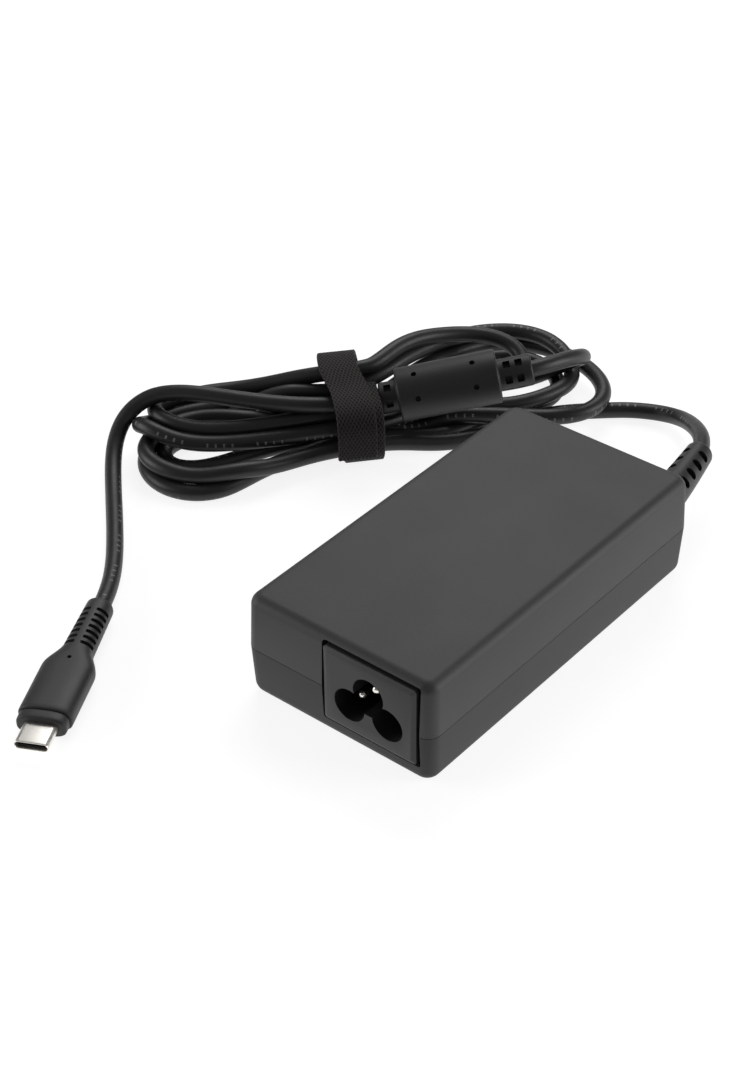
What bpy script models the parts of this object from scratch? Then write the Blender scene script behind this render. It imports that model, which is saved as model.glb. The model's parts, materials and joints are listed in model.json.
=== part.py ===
"""Laptop power adapter with a clover mains inlet, a strapped output cord and a USB-C plug.

Frame: +X is the case's width, +Y its length (inlet at -Y, cord at +Y), +Z is up.
The origin is at the bottom centre of the case. Values are in metres.
"""
import math

import bmesh
import bpy
from mathutils import Matrix, Vector

MM = 0.001
GAP = 0.3 * MM                    # clearance kept between touching pieces

# Case
CASE_LENGTH = 103.0 * MM
CASE_WIDTH = 54.2 * MM
CASE_HEIGHT = 28.2 * MM
PARTING_HEIGHT = 13.7 * MM
PARTING_GAP = 0.4 * MM
WALL = 2.2 * MM
WALL_ALLOWANCE = 0.05 * MM        # a drafted wall is a little thicker, measured level
UPPER_DRAFT = 0.032               # inward run per unit of height above the parting line
LOWER_DRAFT = 0.044
CORNER_RADIUS = 3.5 * MM
TOP_EDGE_RADIUS = 2.7 * MM
BOTTOM_EDGE_RADIUS = 3.0 * MM
POST_RADIUS = 2.2 * MM
POST_MARGIN = 1.5 * MM            # from a post to the edges of the board

# Mains inlet
PANEL_WIDTH = 26.2 * MM
PANEL_SIDE_MARGIN = 4.0 * MM      # from the panel to the case's +X side
PANEL_LOW = 5.2 * MM
PANEL_TOP_MARGIN = 2.1 * MM
PANEL_PROUD = 0.6 * MM
PANEL_CHAMFER = 0.9 * MM
OPENING_GAP = 0.8 * MM            # dark reveal between the panel and the case
FLANGE_OVERLAP = 1.2 * MM
FLANGE_THICKNESS = 1.5 * MM
SOCKET_DEPTH = 14.0 * MM
SOCKET_WALL = 1.2 * MM
SOCKET_BACK = 4.0 * MM
LOBE_RADIUS = 4.3 * MM
LOBE_SPACING = 10.8 * MM
LOBE_DROP = 2.65 * MM             # lower lobes' centres below the panel's middle
EARTH_RISE = 5.5 * MM
TONGUE_DROP = 0.2 * MM            # top of the tongue below the lower lobes' centres
PIN_RADIUS = 1.15 * MM
PIN_RECESS = 3.8 * MM
EARTH_PIN_RECESS = 2.1 * MM
PIN_TAIL = 1.6 * MM
PIN_NOSE = 0.7 * MM
PIN_LEG_WIDTH = 1.4 * MM
PIN_LEG_THICKNESS = 0.6 * MM

# Circuit board and what stands on it
BOARD_THICKNESS = 1.6 * MM
BOARD_CLEARANCE = 0.9 * MM
PART_SPACING = 1.2 * MM
PART_EDGE = 0.4 * MM              # chamfer of moulded parts and cans
FUSE_RADIUS = 4.2 * MM
FUSE_HEIGHT = 8.0 * MM
X_CAPACITOR_SIZE = (16.0 * MM, 7.0 * MM, 13.5 * MM)
CHOKE_RING_RADIUS = 5.6 * MM
CHOKE_CORE_RADIUS = 1.7 * MM
CHOKE_WINDING_RADIUS = 2.7 * MM
CHOKE_SPLIT = 3.0 * MM
CHOKE_SIDES = 8
BRIDGE_SIZE = (15.0 * MM, 4.0 * MM, 11.0 * MM)
BULK_RADIUS = 7.9 * MM
BULK_LENGTH = 29.0 * MM
BEAD_HEIGHT = 1.4 * MM            # crimped bead near the capacitor's open end
BEAD_DEPTH = 0.6 * MM
CORE_WIDTH = 22.0 * MM
CORE_DEPTH = 20.0 * MM
CORE_HEIGHT = 15.5 * MM
CORE_LEG = 4.0 * MM
CENTRE_LEG_RADIUS = 3.3 * MM
WINDING_THICKNESS = 2.6 * MM
BOBBIN_WALL = 0.8 * MM
SINK_THICKNESS = 1.5 * MM
SINK_HEIGHT = 14.0 * MM
PRIMARY_SINK_WIDTH = 18.0 * MM
SECONDARY_SINK_WIDTH = 20.0 * MM
TRANSISTOR_SIZE = (10.0 * MM, 4.4 * MM, 12.0 * MM)
OUTPUT_CAPACITOR_RADIUS = 4.0 * MM
OUTPUT_CAPACITOR_HEIGHT = 12.0 * MM
Y_CAPACITOR_RADIUS = 4.0 * MM
Y_CAPACITOR_THICKNESS = 3.0 * MM
OPTOCOUPLER_SIZE = (6.5 * MM, 4.6 * MM, 3.5 * MM)
CHIP_SIZE = (5.0 * MM, 4.0 * MM, 1.5 * MM)
SPREADER_THICKNESS = 0.5 * MM
SHEET_THICKNESS = 0.3 * MM
WIRE_RADIUS = 0.8 * MM
WIRE_BEND = [(0.0, 0.0), (0.3, 0.05), (0.55, 0.35), (0.6, 0.7), (0.6, 1.0)]  # shares: forward, down

# Cord and its gland at the back of the case
CORD_RADIUS = 2.2 * MM
CORD_BORE = CORD_RADIUS + GAP
GLAND_SIDE_MARGIN = 9.6 * MM      # from the cord's centre to the case's +X side
GLAND_RISE = 0.6 * MM             # above the parting line
GLAND_LENGTH = 27.0 * MM
GLAND_ROOT_RADIUS = 4.9 * MM
GLAND_TIP_RADIUS = 3.55 * MM
GLAND_FLANGE_RADIUS = 6.4 * MM
GLAND_FLANGE_THICKNESS = 2.2 * MM
GLAND_TIP_ROUND = 0.7 * MM
GLAND_SWEEP = -4.6 * MM           # how far the gland's tip leans sideways
GLAND_CURL = 1.25                 # the lean grows as this power of the distance
SLOT_WIDTH = 1.3 * MM
SLOT_PITCH = 4.3 * MM
SLOT_COUNT = 4

# Hank of cord, in its own frame: s along it, t across it, z up
HANK_ORIGIN = Vector((-74.0, 43.0, 0.0)) * MM
HANK_DIRECTION = Vector((0.65, 0.76, 0.0)).normalized()
HANK_ACROSS = Vector((HANK_DIRECTION.y, -HANK_DIRECTION.x, 0.0))
HANK_HEIGHT = 8.8 * MM
HANK_LEFT = (-41.3 * MM, 2.0 * MM, 18.0 * MM)      # s, t and radius of the left loops
HANK_RIGHT = (47.5 * MM, -14.5 * MM, 23.0 * MM)    # s, t and radius of the right loops
WAIST_HALF_WIDTH = 12.0 * MM
STRAP_WIDTH = 12.7 * MM
STRAP_THICKNESS = 1.4 * MM
STRAP_HALF_WIDTH = 14.6 * MM
STRAP_HEIGHT = 22.0 * MM
STRAP_SQUARENESS = 2.8

# Ferrite choke on the cord
FERRITE_RADIUS = 7.25 * MM
FERRITE_LENGTH = 27.1 * MM
FERRITE_WALL = 1.1 * MM
FERRITE_EDGE = 0.6 * MM
FERRITE_RELIEF_RADIUS = 4.3 * MM
FERRITE_LEFT_RELIEF = 4.8 * MM
FERRITE_RIGHT_RELIEF = 9.1 * MM
FERRITE_TURN = math.radians(5.75)                  # from the hank's direction
FERRITE_TILT = math.radians(10)                    # its right end is held up by the cord
FERRITE_HEIGHT = HANK_HEIGHT + GAP + FERRITE_RADIUS * math.cos(FERRITE_TILT)
FERRITE_LEFT_END = (11.85 * MM, 4.9 * MM)
VENT_RADIUS = 0.65 * MM
VENT_INSET = 6.3 * MM
VENT_ANGLES = (106, 162, 286, 342)
LEFT_RELIEF_SLOTS = (0.5,)        # shares of the relief's length, from the cover
RIGHT_RELIEF_SLOTS = (0.27, 0.6)
FERRITE_SLOT_WIDTH = 1.9 * MM

# USB-C plug
PLUG_START = Vector((-72.4, -53.9, 3.5)) * MM      # centre of the strain relief's cord end
PLUG_DIRECTION = Vector((0.458, -0.889, 0.0)).normalized()
PLUG_RELIEF_LENGTH = 17.0 * MM
PLUG_SHOULDER = 8.0 * MM          # length over which the relief widens into the body
PLUG_BODY_END = 41.4 * MM
PLUG_HALF_WIDTH = 6.5 * MM
PLUG_HALF_HEIGHT = 3.3 * MM
PLUG_RELIEF_RADIUS = 3.4 * MM
PLUG_RELIEF_GROWTH = 1.14         # how much wider the relief is at its root
PLUG_TIP_ROUND = 0.8 * MM
PLUG_SQUARENESS = 3.0
PLUG_SLOT_PITCH = 2.1 * MM
PLUG_SLOT_WIDTH = 0.8 * MM
PLUG_SLOT_SPAN = 2.9 * MM
PLUG_SLOT_COUNT = 7
PLUG_CAVITY_START = 24.0 * MM
COLLAR_LENGTH = 2.7 * MM
COLLAR_STEP = 0.55 * MM
COLLAR_ROUND = 0.5 * MM
COLLAR_SPIGOT = 3.0 * MM
SHELL_WIDTH = 8.25 * MM
SHELL_HEIGHT = 2.4 * MM
SHELL_WALL = 0.3 * MM
SHELL_REACH = 6.7 * MM            # how far the shell stands out of the collar
SHELL_LENGTH = 12.5 * MM
MOUTH_DEPTH = 5.2 * MM
PADDLE_THICKNESS = 0.8 * MM

# Routes of the uncoiled cord, chosen by hand: s, t and z in the hank's frame, in millimetres
ROUTE_TO_HANK = [(85.8, 36.9, 13.3), (87.3, 31.5, 11.8), (87.9, 26.0, 10.0), (88.1, 19.8, 7.6),
                 (87.6, 13.6, 5.2), (86.0, 8.2, 3.2), (82.6, 4.8, 2.3), (79.0, 3.9, 2.25),
                 (75.5, 2.9, 2.25)]
ROUTE_TO_FERRITE = [(66.0, -11.0, 10.0), (65.7, -10.0, 12.2), (65.0, -7.0, 14.7), (63.8, -3.4, 17.0),
                    (61.5, -0.2, 19.2), (58.2, 3.2, 21.2), (54.3, 5.9, 22.6)]
ROUTE_TO_PLUG = [(-6.4, 4.8, 15.1), (-14.2, 3.4, 15.6), (-21.5, 1.5, 16.0), (-29.1, -1.2, 16.2),
                 (-36.5, -4.3, 16.4), (-43.0, -6.8, 16.3), (-48.3, -8.9, 15.6),
                 (-52.3, -9.9, 14.6), (-55.7, -9.7, 13.0), (-58.7, -8.2, 10.9),
                 (-61.0, -6.4, 8.4), (-62.7, -3.6, 6.4), (-63.8, 0.2, 4.8), (-64.6, 5.6, 3.5),
                 (-65.2, 11.4, 2.7), (-65.6, 17.0, 2.4), (-66.2, 26.5, 2.3), (-67.0, 37.0, 2.3),
                 (-68.1, 46.5, 2.4), (-69.8, 55.4, 2.9)]


def remove_everything():
    for item in list(bpy.data.objects):
        bpy.data.objects.remove(item, do_unlink=True)


remove_everything()
PARTS = bpy.data.collections.new("laptop_power_adapter")
CUTTERS = bpy.data.collections.new("cutters")
for collection in (PARTS, CUTTERS):
    bpy.context.scene.collection.children.link(collection)


# ---------------------------------------------------------------- materials

def material(name, rgb, roughness, metallic=0.0):
    made = bpy.data.materials.get(name) or bpy.data.materials.new(name)
    made.use_nodes = True
    shader = made.node_tree.nodes["Principled BSDF"]
    shader.inputs["Base Color"].default_value = (*rgb, 1.0)
    shader.inputs["Roughness"].default_value = roughness
    shader.inputs["Metallic"].default_value = metallic
    return made


CASE_PLASTIC = ((0.070, 0.070, 0.068), 0.55)
CORD_PVC = ((0.025, 0.025, 0.026), 0.42)
INLET_PLASTIC = ((0.030, 0.030, 0.030), 0.5)
NICKEL = ((0.78, 0.76, 0.72), 0.22, 1.0)
FERRITE_GREY = ((0.10, 0.10, 0.105), 0.6)
ALUMINIUM = ((0.72, 0.73, 0.74), 0.35, 1.0)
COPPER = ((0.72, 0.38, 0.20), 0.35, 1.0)
EPOXY_BLACK = ((0.02, 0.02, 0.02), 0.4)
BOARD_GREEN = ((0.02, 0.16, 0.05), 0.5)
CAN_BLUE = ((0.03, 0.05, 0.16), 0.35)


# ---------------------------------------------------------------- mesh helpers

def add_object(name, data, finish=None):
    """Put a part in the parts collection, or a cutter (no finish) among the cutters."""
    made = bpy.data.objects.new(name, data)
    if finish is None:
        CUTTERS.objects.link(made)
        made.hide_render = True
        made.display_type = 'WIRE'
    else:
        PARTS.objects.link(made)
        data.materials.append(material(name, *finish))
    return made


def mesh_from(bm, name, finish=None, smooth=False):
    bmesh.ops.recalc_face_normals(bm, faces=bm.faces)
    mesh = bpy.data.meshes.new(name)
    bm.to_mesh(mesh)
    bm.free()
    if smooth:
        mesh.shade_smooth()
        mesh.set_sharp_from_angle(angle=math.radians(35))
    return add_object(name, mesh, finish)


def box(name, size, centre, finish=None, turn=None, chamfer=0.0):
    """A box of the given size; turn is an optional 4x4 rotation about its centre."""
    bm = bmesh.new()
    bmesh.ops.create_cube(bm, size=1.0, matrix=Matrix.Diagonal((*size, 1.0)))
    if chamfer:
        bmesh.ops.bevel(bm, geom=bm.edges[:], offset=chamfer, segments=1, affect='EDGES')
    made = mesh_from(bm, name, finish)
    made.matrix_world = Matrix.Translation(centre) @ (turn or Matrix())
    return made


def cylinder(name, radius, length, centre, axis='Z', finish=None, sides=24):
    bm = bmesh.new()
    bmesh.ops.create_cone(bm, cap_ends=True, segments=sides, radius1=radius, radius2=radius,
                          depth=length)
    made = mesh_from(bm, name, finish, smooth=True)
    turns = {'X': Matrix.Rotation(math.pi / 2, 4, 'Y'), 'Y': Matrix.Rotation(-math.pi / 2, 4, 'X'),
             'Z': Matrix()}
    made.matrix_world = Matrix.Translation(centre) @ turns[axis]
    return made


def turned(name, profile, placement, finish=None, steps=28):
    """A closed profile of (radius, height) points turned about the placement's Z axis."""
    mesh = bpy.data.meshes.new(name)
    points = [(radius, 0.0, height) for radius, height in profile]
    edges = [(i, i + 1) for i in range(len(points) - 1)]
    if profile[0][0] > 0.0 and profile[-1][0] > 0.0:
        edges.append((len(points) - 1, 0))
    mesh.from_pydata(points, edges, [])
    made = add_object(name, mesh, finish)
    made.matrix_world = placement
    screw = made.modifiers.new("turn", 'SCREW')
    screw.steps = steps
    screw.render_steps = steps
    screw.use_merge_vertices = True
    screw.merge_threshold = 0.00001
    screw.use_smooth_shade = True
    return made


def loft(name, rings, finish=None, smooth=True):
    """A closed skin through rings of equal point counts, with flat ends."""
    bm = bmesh.new()
    loops = [[bm.verts.new(point) for point in ring] for ring in rings]
    count = len(loops[0])
    for first, second in zip(loops, loops[1:]):
        for i in range(count):
            j = (i + 1) % count
            bm.faces.new((first[i], first[j], second[j], second[i]))
    bm.faces.new(loops[0])
    bm.faces.new(loops[-1])
    return mesh_from(bm, name, finish, smooth)


def cut(target, cutter, operation='DIFFERENCE'):
    modifier = target.modifiers.new(cutter.name, 'BOOLEAN')
    modifier.operation = operation
    modifier.solver = 'EXACT'
    modifier.object = cutter
    return target


def smooth_route(points, spacing):
    """Points along a Catmull-Rom curve through the given ones, about spacing apart."""
    ends = [points[0] * 2 - points[1]] + list(points) + [points[-1] * 2 - points[-2]]
    route = [points[0].copy()]
    for a, b, c, d in zip(ends, ends[1:], ends[2:], ends[3:]):
        steps = max(1, round((c - b).length / spacing))
        for k in range(1, steps + 1):
            u = k / steps
            route.append(0.5 * ((2 * b) + (c - a) * u + (2 * a - 5 * b + 4 * c - d) * u ** 2
                                + (3 * b - a - 3 * c + d) * u ** 3))
    return route


def tube(name, points, radius, finish, bevel_resolution=2):
    curve = bpy.data.curves.new(name, 'CURVE')
    curve.dimensions = '3D'
    curve.bevel_depth = radius
    curve.bevel_resolution = bevel_resolution
    curve.use_fill_caps = True
    spline = curve.splines.new('POLY')
    spline.points.add(len(points) - 1)
    for target, point in zip(spline.points, points):
        target.co = (*point, 1.0)
    return add_object(name, curve, finish)


def frame_at(origin, direction, up=Vector((0, 0, 1))):
    """A placement with +Z along direction and +Y as near up as it can be."""
    z = direction.normalized()
    x = up.cross(z).normalized()
    y = z.cross(x)
    turn = Matrix((x, y, z)).transposed().to_4x4()
    return Matrix.Translation(origin) @ turn


def slot_cutter(name, placements, inner, outer, width, span):
    """Boxes that open slots on four sides round a strain relief, from inner to outer radius."""
    bm = bmesh.new()
    for placement in placements:
        for quarter in range(4):
            turn = Matrix.Rotation(math.radians(45 + 90 * quarter), 4, 'Z')
            shift = Matrix.Translation((0.5 * (inner + outer), 0.0, 0.0))
            size = Matrix.Diagonal((outer - inner, span, width, 1.0))
            bmesh.ops.create_cube(bm, size=1.0, matrix=placement @ turn @ shift @ size)
    return mesh_from(bm, name)


# ---------------------------------------------------------------- case

def inner_half(size, height):
    """Half of the room inside the case's walls, for its width or length, at a height."""
    if height > PARTING_HEIGHT:
        draft = UPPER_DRAFT * (height - PARTING_HEIGHT)
    else:
        draft = LOWER_DRAFT * (PARTING_HEIGHT - height)
    return size / 2 - draft - WALL - WALL_ALLOWANCE


def open_tray(name, open_height, closed_height, draft, edge_radius, finish):
    """A drafted, rounded tray that is open at one height and closed at the other."""
    depth = abs(closed_height - open_height)
    bm = bmesh.new()
    bmesh.ops.create_cube(bm, size=1.0)
    for vert in bm.verts:
        is_closed_end = (vert.co.z > 0) == (closed_height > open_height)
        inset = draft * depth if is_closed_end else 0.0
        vert.co.x *= CASE_WIDTH - 2 * inset
        vert.co.y *= CASE_LENGTH - 2 * inset
        vert.co.z = closed_height if is_closed_end else open_height
    corners = [edge for edge in bm.edges
               if abs(edge.verts[0].co.z - edge.verts[1].co.z) > depth / 2]
    bmesh.ops.bevel(bm, geom=corners, offset=CORNER_RADIUS, segments=4, profile=0.5,
                    affect='EDGES')
    rim = [edge for edge in bm.edges
           if all(abs(vert.co.z - closed_height) < 1e-7 for vert in edge.verts)]
    bmesh.ops.bevel(bm, geom=rim, offset=edge_radius, segments=4, profile=0.5, affect='EDGES')
    mouth = [face for face in bm.faces
             if all(abs(vert.co.z - open_height) < 1e-7 for vert in face.verts)]
    bmesh.ops.recalc_face_normals(bm, faces=bm.faces)
    bmesh.ops.delete(bm, geom=mouth, context='FACES_ONLY')
    mesh = bpy.data.meshes.new(name)
    bm.to_mesh(mesh)
    bm.free()
    mesh.shade_smooth()
    mesh.set_sharp_from_angle(angle=math.radians(35))
    made = add_object(name, mesh, finish)
    solidify = made.modifiers.new("wall", 'SOLIDIFY')
    solidify.thickness = WALL
    solidify.offset = -1.0
    solidify.use_even_offset = True
    return made


INLET_X = CASE_WIDTH / 2 - PANEL_SIDE_MARGIN - PANEL_WIDTH / 2
PANEL_HIGH = CASE_HEIGHT - PANEL_TOP_MARGIN
PANEL_MIDDLE = (PANEL_LOW + PANEL_HIGH) / 2
FRONT_FACE = -CASE_LENGTH / 2
PANEL_FACE = FRONT_FACE - PANEL_PROUD
LOBE_HEIGHT = PANEL_MIDDLE - LOBE_DROP
EARTH_HEIGHT = LOBE_HEIGHT + EARTH_RISE
SOCKET_LOW = LOBE_HEIGHT - LOBE_RADIUS - SOCKET_WALL
SOCKET_HIGH = EARTH_HEIGHT + LOBE_RADIUS + SOCKET_WALL
SOCKET_WIDTH = LOBE_SPACING + 2 * (LOBE_RADIUS + SOCKET_WALL)
HOUSING_BACK = PANEL_FACE + SOCKET_DEPTH + SOCKET_BACK
SEAT = SOCKET_LOW - GAP           # underside of everything that stands on the board
BOARD_TOP = SEAT - GAP
BOARD_BOTTOM = BOARD_TOP - BOARD_THICKNESS
POST_TOP = BOARD_BOTTOM - GAP
CEILING = CASE_HEIGHT - WALL
GLAND_X = CASE_WIDTH / 2 - GLAND_SIDE_MARGIN
GLAND_HEIGHT = PARTING_HEIGHT + GLAND_RISE
REAR_FACE = CASE_LENGTH / 2
BOARD_HALF_WIDTH = inner_half(CASE_WIDTH, BOARD_BOTTOM) - BOARD_CLEARANCE
FLANGE_FRONT = -inner_half(CASE_LENGTH, PANEL_HIGH) + GAP
FLANGE_BACK = FLANGE_FRONT + FLANGE_THICKNESS
BOARD_FRONT = FLANGE_BACK + BOARD_CLEARANCE
BOARD_BACK = inner_half(CASE_LENGTH, BOARD_BOTTOM) - BOARD_CLEARANCE
POST_INSET = POST_RADIUS + POST_MARGIN


def inlet_opening_cutter():
    centre = (INLET_X, FRONT_FACE, PANEL_MIDDLE)
    size = (PANEL_WIDTH + 2 * OPENING_GAP, 4 * WALL, PANEL_HIGH - PANEL_LOW + 2 * OPENING_GAP)
    bm = bmesh.new()
    bmesh.ops.create_cube(bm, size=1.0, matrix=Matrix.Diagonal((*size, 1.0)))
    through = [edge for edge in bm.edges if abs(edge.verts[0].co.y - edge.verts[1].co.y) > WALL]
    bmesh.ops.bevel(bm, geom=through, offset=OPENING_GAP, segments=2, affect='EDGES')
    made = mesh_from(bm, "inlet_opening")
    made.location = centre
    return made


def case_covers():
    top = open_tray("top_cover", PARTING_HEIGHT + PARTING_GAP / 2, CASE_HEIGHT, UPPER_DRAFT,
                    TOP_EDGE_RADIUS, CASE_PLASTIC)
    bottom = open_tray("bottom_cover", PARTING_HEIGHT - PARTING_GAP / 2, 0.0, LOWER_DRAFT,
                       BOTTOM_EDGE_RADIUS, CASE_PLASTIC)
    post_root = WALL / 2
    for side, end in ((-1, "front"), (-1, "back"), (1, "front"), (1, "back")):
        x = side * (BOARD_HALF_WIDTH - POST_INSET)
        y = BOARD_FRONT + POST_INSET if end == "front" else BOARD_BACK - POST_INSET
        post = cylinder("board_post", POST_RADIUS, POST_TOP - post_root,
                        (x, y, (POST_TOP + post_root) / 2), sides=16)
        cut(bottom, post, 'UNION')
    opening = inlet_opening_cutter()
    gland_hole = cylinder("gland_hole", GLAND_ROOT_RADIUS + GAP, 4 * WALL,
                          (GLAND_X, REAR_FACE, GLAND_HEIGHT), 'Y', sides=28)
    for cover in (top, bottom):
        cut(cover, opening)
        cut(cover, gland_hole)


# ---------------------------------------------------------------- mains inlet

PIN_PLACES = {
    "inlet_pin_line": (INLET_X + LOBE_SPACING / 2, LOBE_HEIGHT, PIN_RECESS),
    "inlet_pin_neutral": (INLET_X - LOBE_SPACING / 2, LOBE_HEIGHT, PIN_RECESS),
    "inlet_pin_earth": (INLET_X, EARTH_HEIGHT, EARTH_PIN_RECESS),
}


def span_box(name, low, high, finish=None, chamfer=0.0):
    """A box given by its low and high corners."""
    size = [b - a for a, b in zip(low, high)]
    centre = [(a + b) / 2 for a, b in zip(low, high)]
    return box(name, size, centre, finish, chamfer=chamfer)


def inlet_housing():
    half = PANEL_WIDTH / 2
    panel_rings = []
    for y, inset in ((PANEL_FACE, PANEL_CHAMFER / 2), (PANEL_FACE + PANEL_CHAMFER / 2, 0.0),
                     (FLANGE_FRONT + GAP, 0.0)):
        x0, x1 = INLET_X - half + inset, INLET_X + half - inset
        z0, z1 = PANEL_LOW + inset, PANEL_HIGH - inset
        corners = ((x0, y, z0), (x1, y, z0), (x1, y, z1), (x0, y, z1))
        panel_rings.append([Vector(corner) for corner in corners])
    housing = loft("inlet_housing", panel_rings, INLET_PLASTIC, smooth=False)
    side = half + OPENING_GAP + FLANGE_OVERLAP
    flange_low = max(PANEL_LOW - OPENING_GAP - FLANGE_OVERLAP, WALL + GAP)
    flange = span_box("inlet_flange", (INLET_X - side, FLANGE_FRONT, flange_low),
                      (min(INLET_X + side, BOARD_HALF_WIDTH), FLANGE_BACK, SOCKET_HIGH))
    body = span_box("inlet_body", (INLET_X - SOCKET_WIDTH / 2, FLANGE_FRONT + WALL / 4, SOCKET_LOW),
                    (INLET_X + SOCKET_WIDTH / 2, HOUSING_BACK, SOCKET_HIGH))
    cut(housing, flange, 'UNION')
    cut(housing, body, 'UNION')
    # The clover: two lower lobes, one upper lobe and the neck that joins them.
    depth_centre = PANEL_FACE + SOCKET_DEPTH / 2 - WALL
    clover_length = SOCKET_DEPTH + 2 * WALL
    clover = cylinder("socket_lobe_left", LOBE_RADIUS, clover_length,
                      (INLET_X - LOBE_SPACING / 2, depth_centre, LOBE_HEIGHT), 'Y')
    for name, x, z in (("socket_lobe_right", INLET_X + LOBE_SPACING / 2, LOBE_HEIGHT),
                       ("socket_lobe_earth", INLET_X, EARTH_HEIGHT)):
        cut(clover, cylinder(name, LOBE_RADIUS, clover_length, (x, depth_centre, z), 'Y'), 'UNION')
    neck_low = LOBE_HEIGHT - TONGUE_DROP
    neck = box("socket_neck", (LOBE_SPACING / 2, clover_length, EARTH_HEIGHT - neck_low),
               (INLET_X, depth_centre, (EARTH_HEIGHT + neck_low) / 2))
    cut(clover, neck, 'UNION')
    cut(housing, clover)
    for name, (x, z, _recess) in PIN_PLACES.items():
        cut(housing, cylinder(name + "_hole", PIN_RADIUS + GAP, 3 * SOCKET_BACK,
                              (x, HOUSING_BACK, z), 'Y', sides=16))


def inlet_pins():
    """Each pin is a round-nosed rod with a flat leg that runs down to the board."""
    for name, (x, z, recess) in PIN_PLACES.items():
        tip = PANEL_FACE + recess
        end = HOUSING_BACK + PIN_TAIL
        length = end - tip
        profile = [(0.0, length), (PIN_RADIUS - PIN_NOSE / 2, length),
                   (PIN_RADIUS, length - PIN_NOSE), (PIN_RADIUS, 0.0), (0.0, 0.0)]
        placement = frame_at(Vector((x, end, z)), Vector((0, -1, 0)))
        pin = turned(name, profile, placement, NICKEL, steps=16)
        leg_front = end - (PIN_TAIL + PIN_LEG_THICKNESS) / 2
        leg = span_box(name + "_leg", (x - PIN_LEG_WIDTH / 2, leg_front, SEAT),
                       (x + PIN_LEG_WIDTH / 2, leg_front + PIN_LEG_THICKNESS, z))
        cut(pin, leg, 'UNION')


# ---------------------------------------------------------------- circuit board

def circuit_board():
    board = span_box("circuit_board", (-BOARD_HALF_WIDTH, BOARD_FRONT, BOARD_BOTTOM),
                     (BOARD_HALF_WIDTH, BOARD_BACK, BOARD_TOP), BOARD_GREEN)
    corner = board.modifiers.new("corners", 'BEVEL')
    corner.width = PART_EDGE
    corner.segments = 1


def seated_box(name, size, x, y, finish, chamfer=PART_EDGE):
    """A box that stands on the board with its centre at x, y."""
    return box(name, size, (x, y, SEAT + size[2] / 2), finish, chamfer=chamfer)


def seated_can(name, radius, height, x, y, finish):
    profile = [(0.0, height), (radius - PART_EDGE, height), (radius, height - PART_EDGE),
               (radius, 0.0), (0.0, 0.0)]
    return turned(name, profile, Matrix.Translation((x, y, SEAT)), finish, steps=20)


def primary_side():
    """Left column of the board: mains parts, then the bulk capacitor."""
    left = -BOARD_HALF_WIDTH + PART_SPACING
    y = BOARD_FRONT + PART_SPACING + FUSE_RADIUS
    seated_can("mains_fuse", FUSE_RADIUS, FUSE_HEIGHT, left + FUSE_RADIUS, y,
               ((0.30, 0.05, 0.03), 0.4))
    y += FUSE_RADIUS + PART_SPACING + X_CAPACITOR_SIZE[1] / 2
    seated_box("x_capacitor", X_CAPACITOR_SIZE, left + X_CAPACITOR_SIZE[0] / 2, y,
               ((0.55, 0.42, 0.05), 0.4))
    y += (X_CAPACITOR_SIZE[1] + BRIDGE_SIZE[1]) / 2 + PART_SPACING
    seated_box("bridge_rectifier", BRIDGE_SIZE, left + BRIDGE_SIZE[0] / 2, y, EPOXY_BLACK)
    y += BRIDGE_SIZE[1] / 2 + PART_SPACING
    profile = [(0.0, BULK_LENGTH), (BULK_RADIUS - PART_EDGE, BULK_LENGTH),
               (BULK_RADIUS, BULK_LENGTH - PART_EDGE), (BULK_RADIUS, BEAD_HEIGHT + PART_EDGE),
               (BULK_RADIUS - BEAD_DEPTH, BEAD_HEIGHT), (BULK_RADIUS, BEAD_HEIGHT - PART_EDGE),
               (BULK_RADIUS, 0.0), (0.0, 0.0)]
    placement = frame_at(Vector((left + BULK_RADIUS, y, SEAT + BULK_RADIUS)), Vector((0, 1, 0)))
    turned("bulk_capacitor", profile, placement, CAN_BLUE, steps=24)
    return left, y + BULK_LENGTH


def filter_choke(y):
    """Toroid lying behind the inlet, with a winding on each half."""
    outer = CHOKE_RING_RADIUS + CHOKE_WINDING_RADIUS
    x = BOARD_HALF_WIDTH - PART_SPACING - outer
    centre = Vector((x, y + outer, SEAT + CHOKE_WINDING_RADIUS))

    def ring(name, radius, finish=None):
        angles = [math.pi / 2 - 2 * math.pi * k / CHOKE_SIDES for k in range(CHOKE_SIDES)]
        profile = [(CHOKE_RING_RADIUS + radius * math.cos(a), radius * math.sin(a)) for a in angles]
        return turned(name, profile, Matrix.Translation(centre), finish, steps=20)

    ring("filter_choke_core", CHOKE_CORE_RADIUS, FERRITE_GREY)
    bore = ring("winding_bore", CHOKE_CORE_RADIUS + GAP)
    for name, side in (("filter_choke_winding_line", 1), ("filter_choke_winding_neutral", -1)):
        winding = ring(name, CHOKE_WINDING_RADIUS, COPPER)
        cut(winding, bore)
        keep_out = box(name + "_cutter", (2 * outer + CHOKE_SPLIT, 3 * outer, 3 * outer),
                       (x - side * outer, centre.y, centre.z))
        cut(winding, keep_out)
    return centre.y + outer


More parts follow.
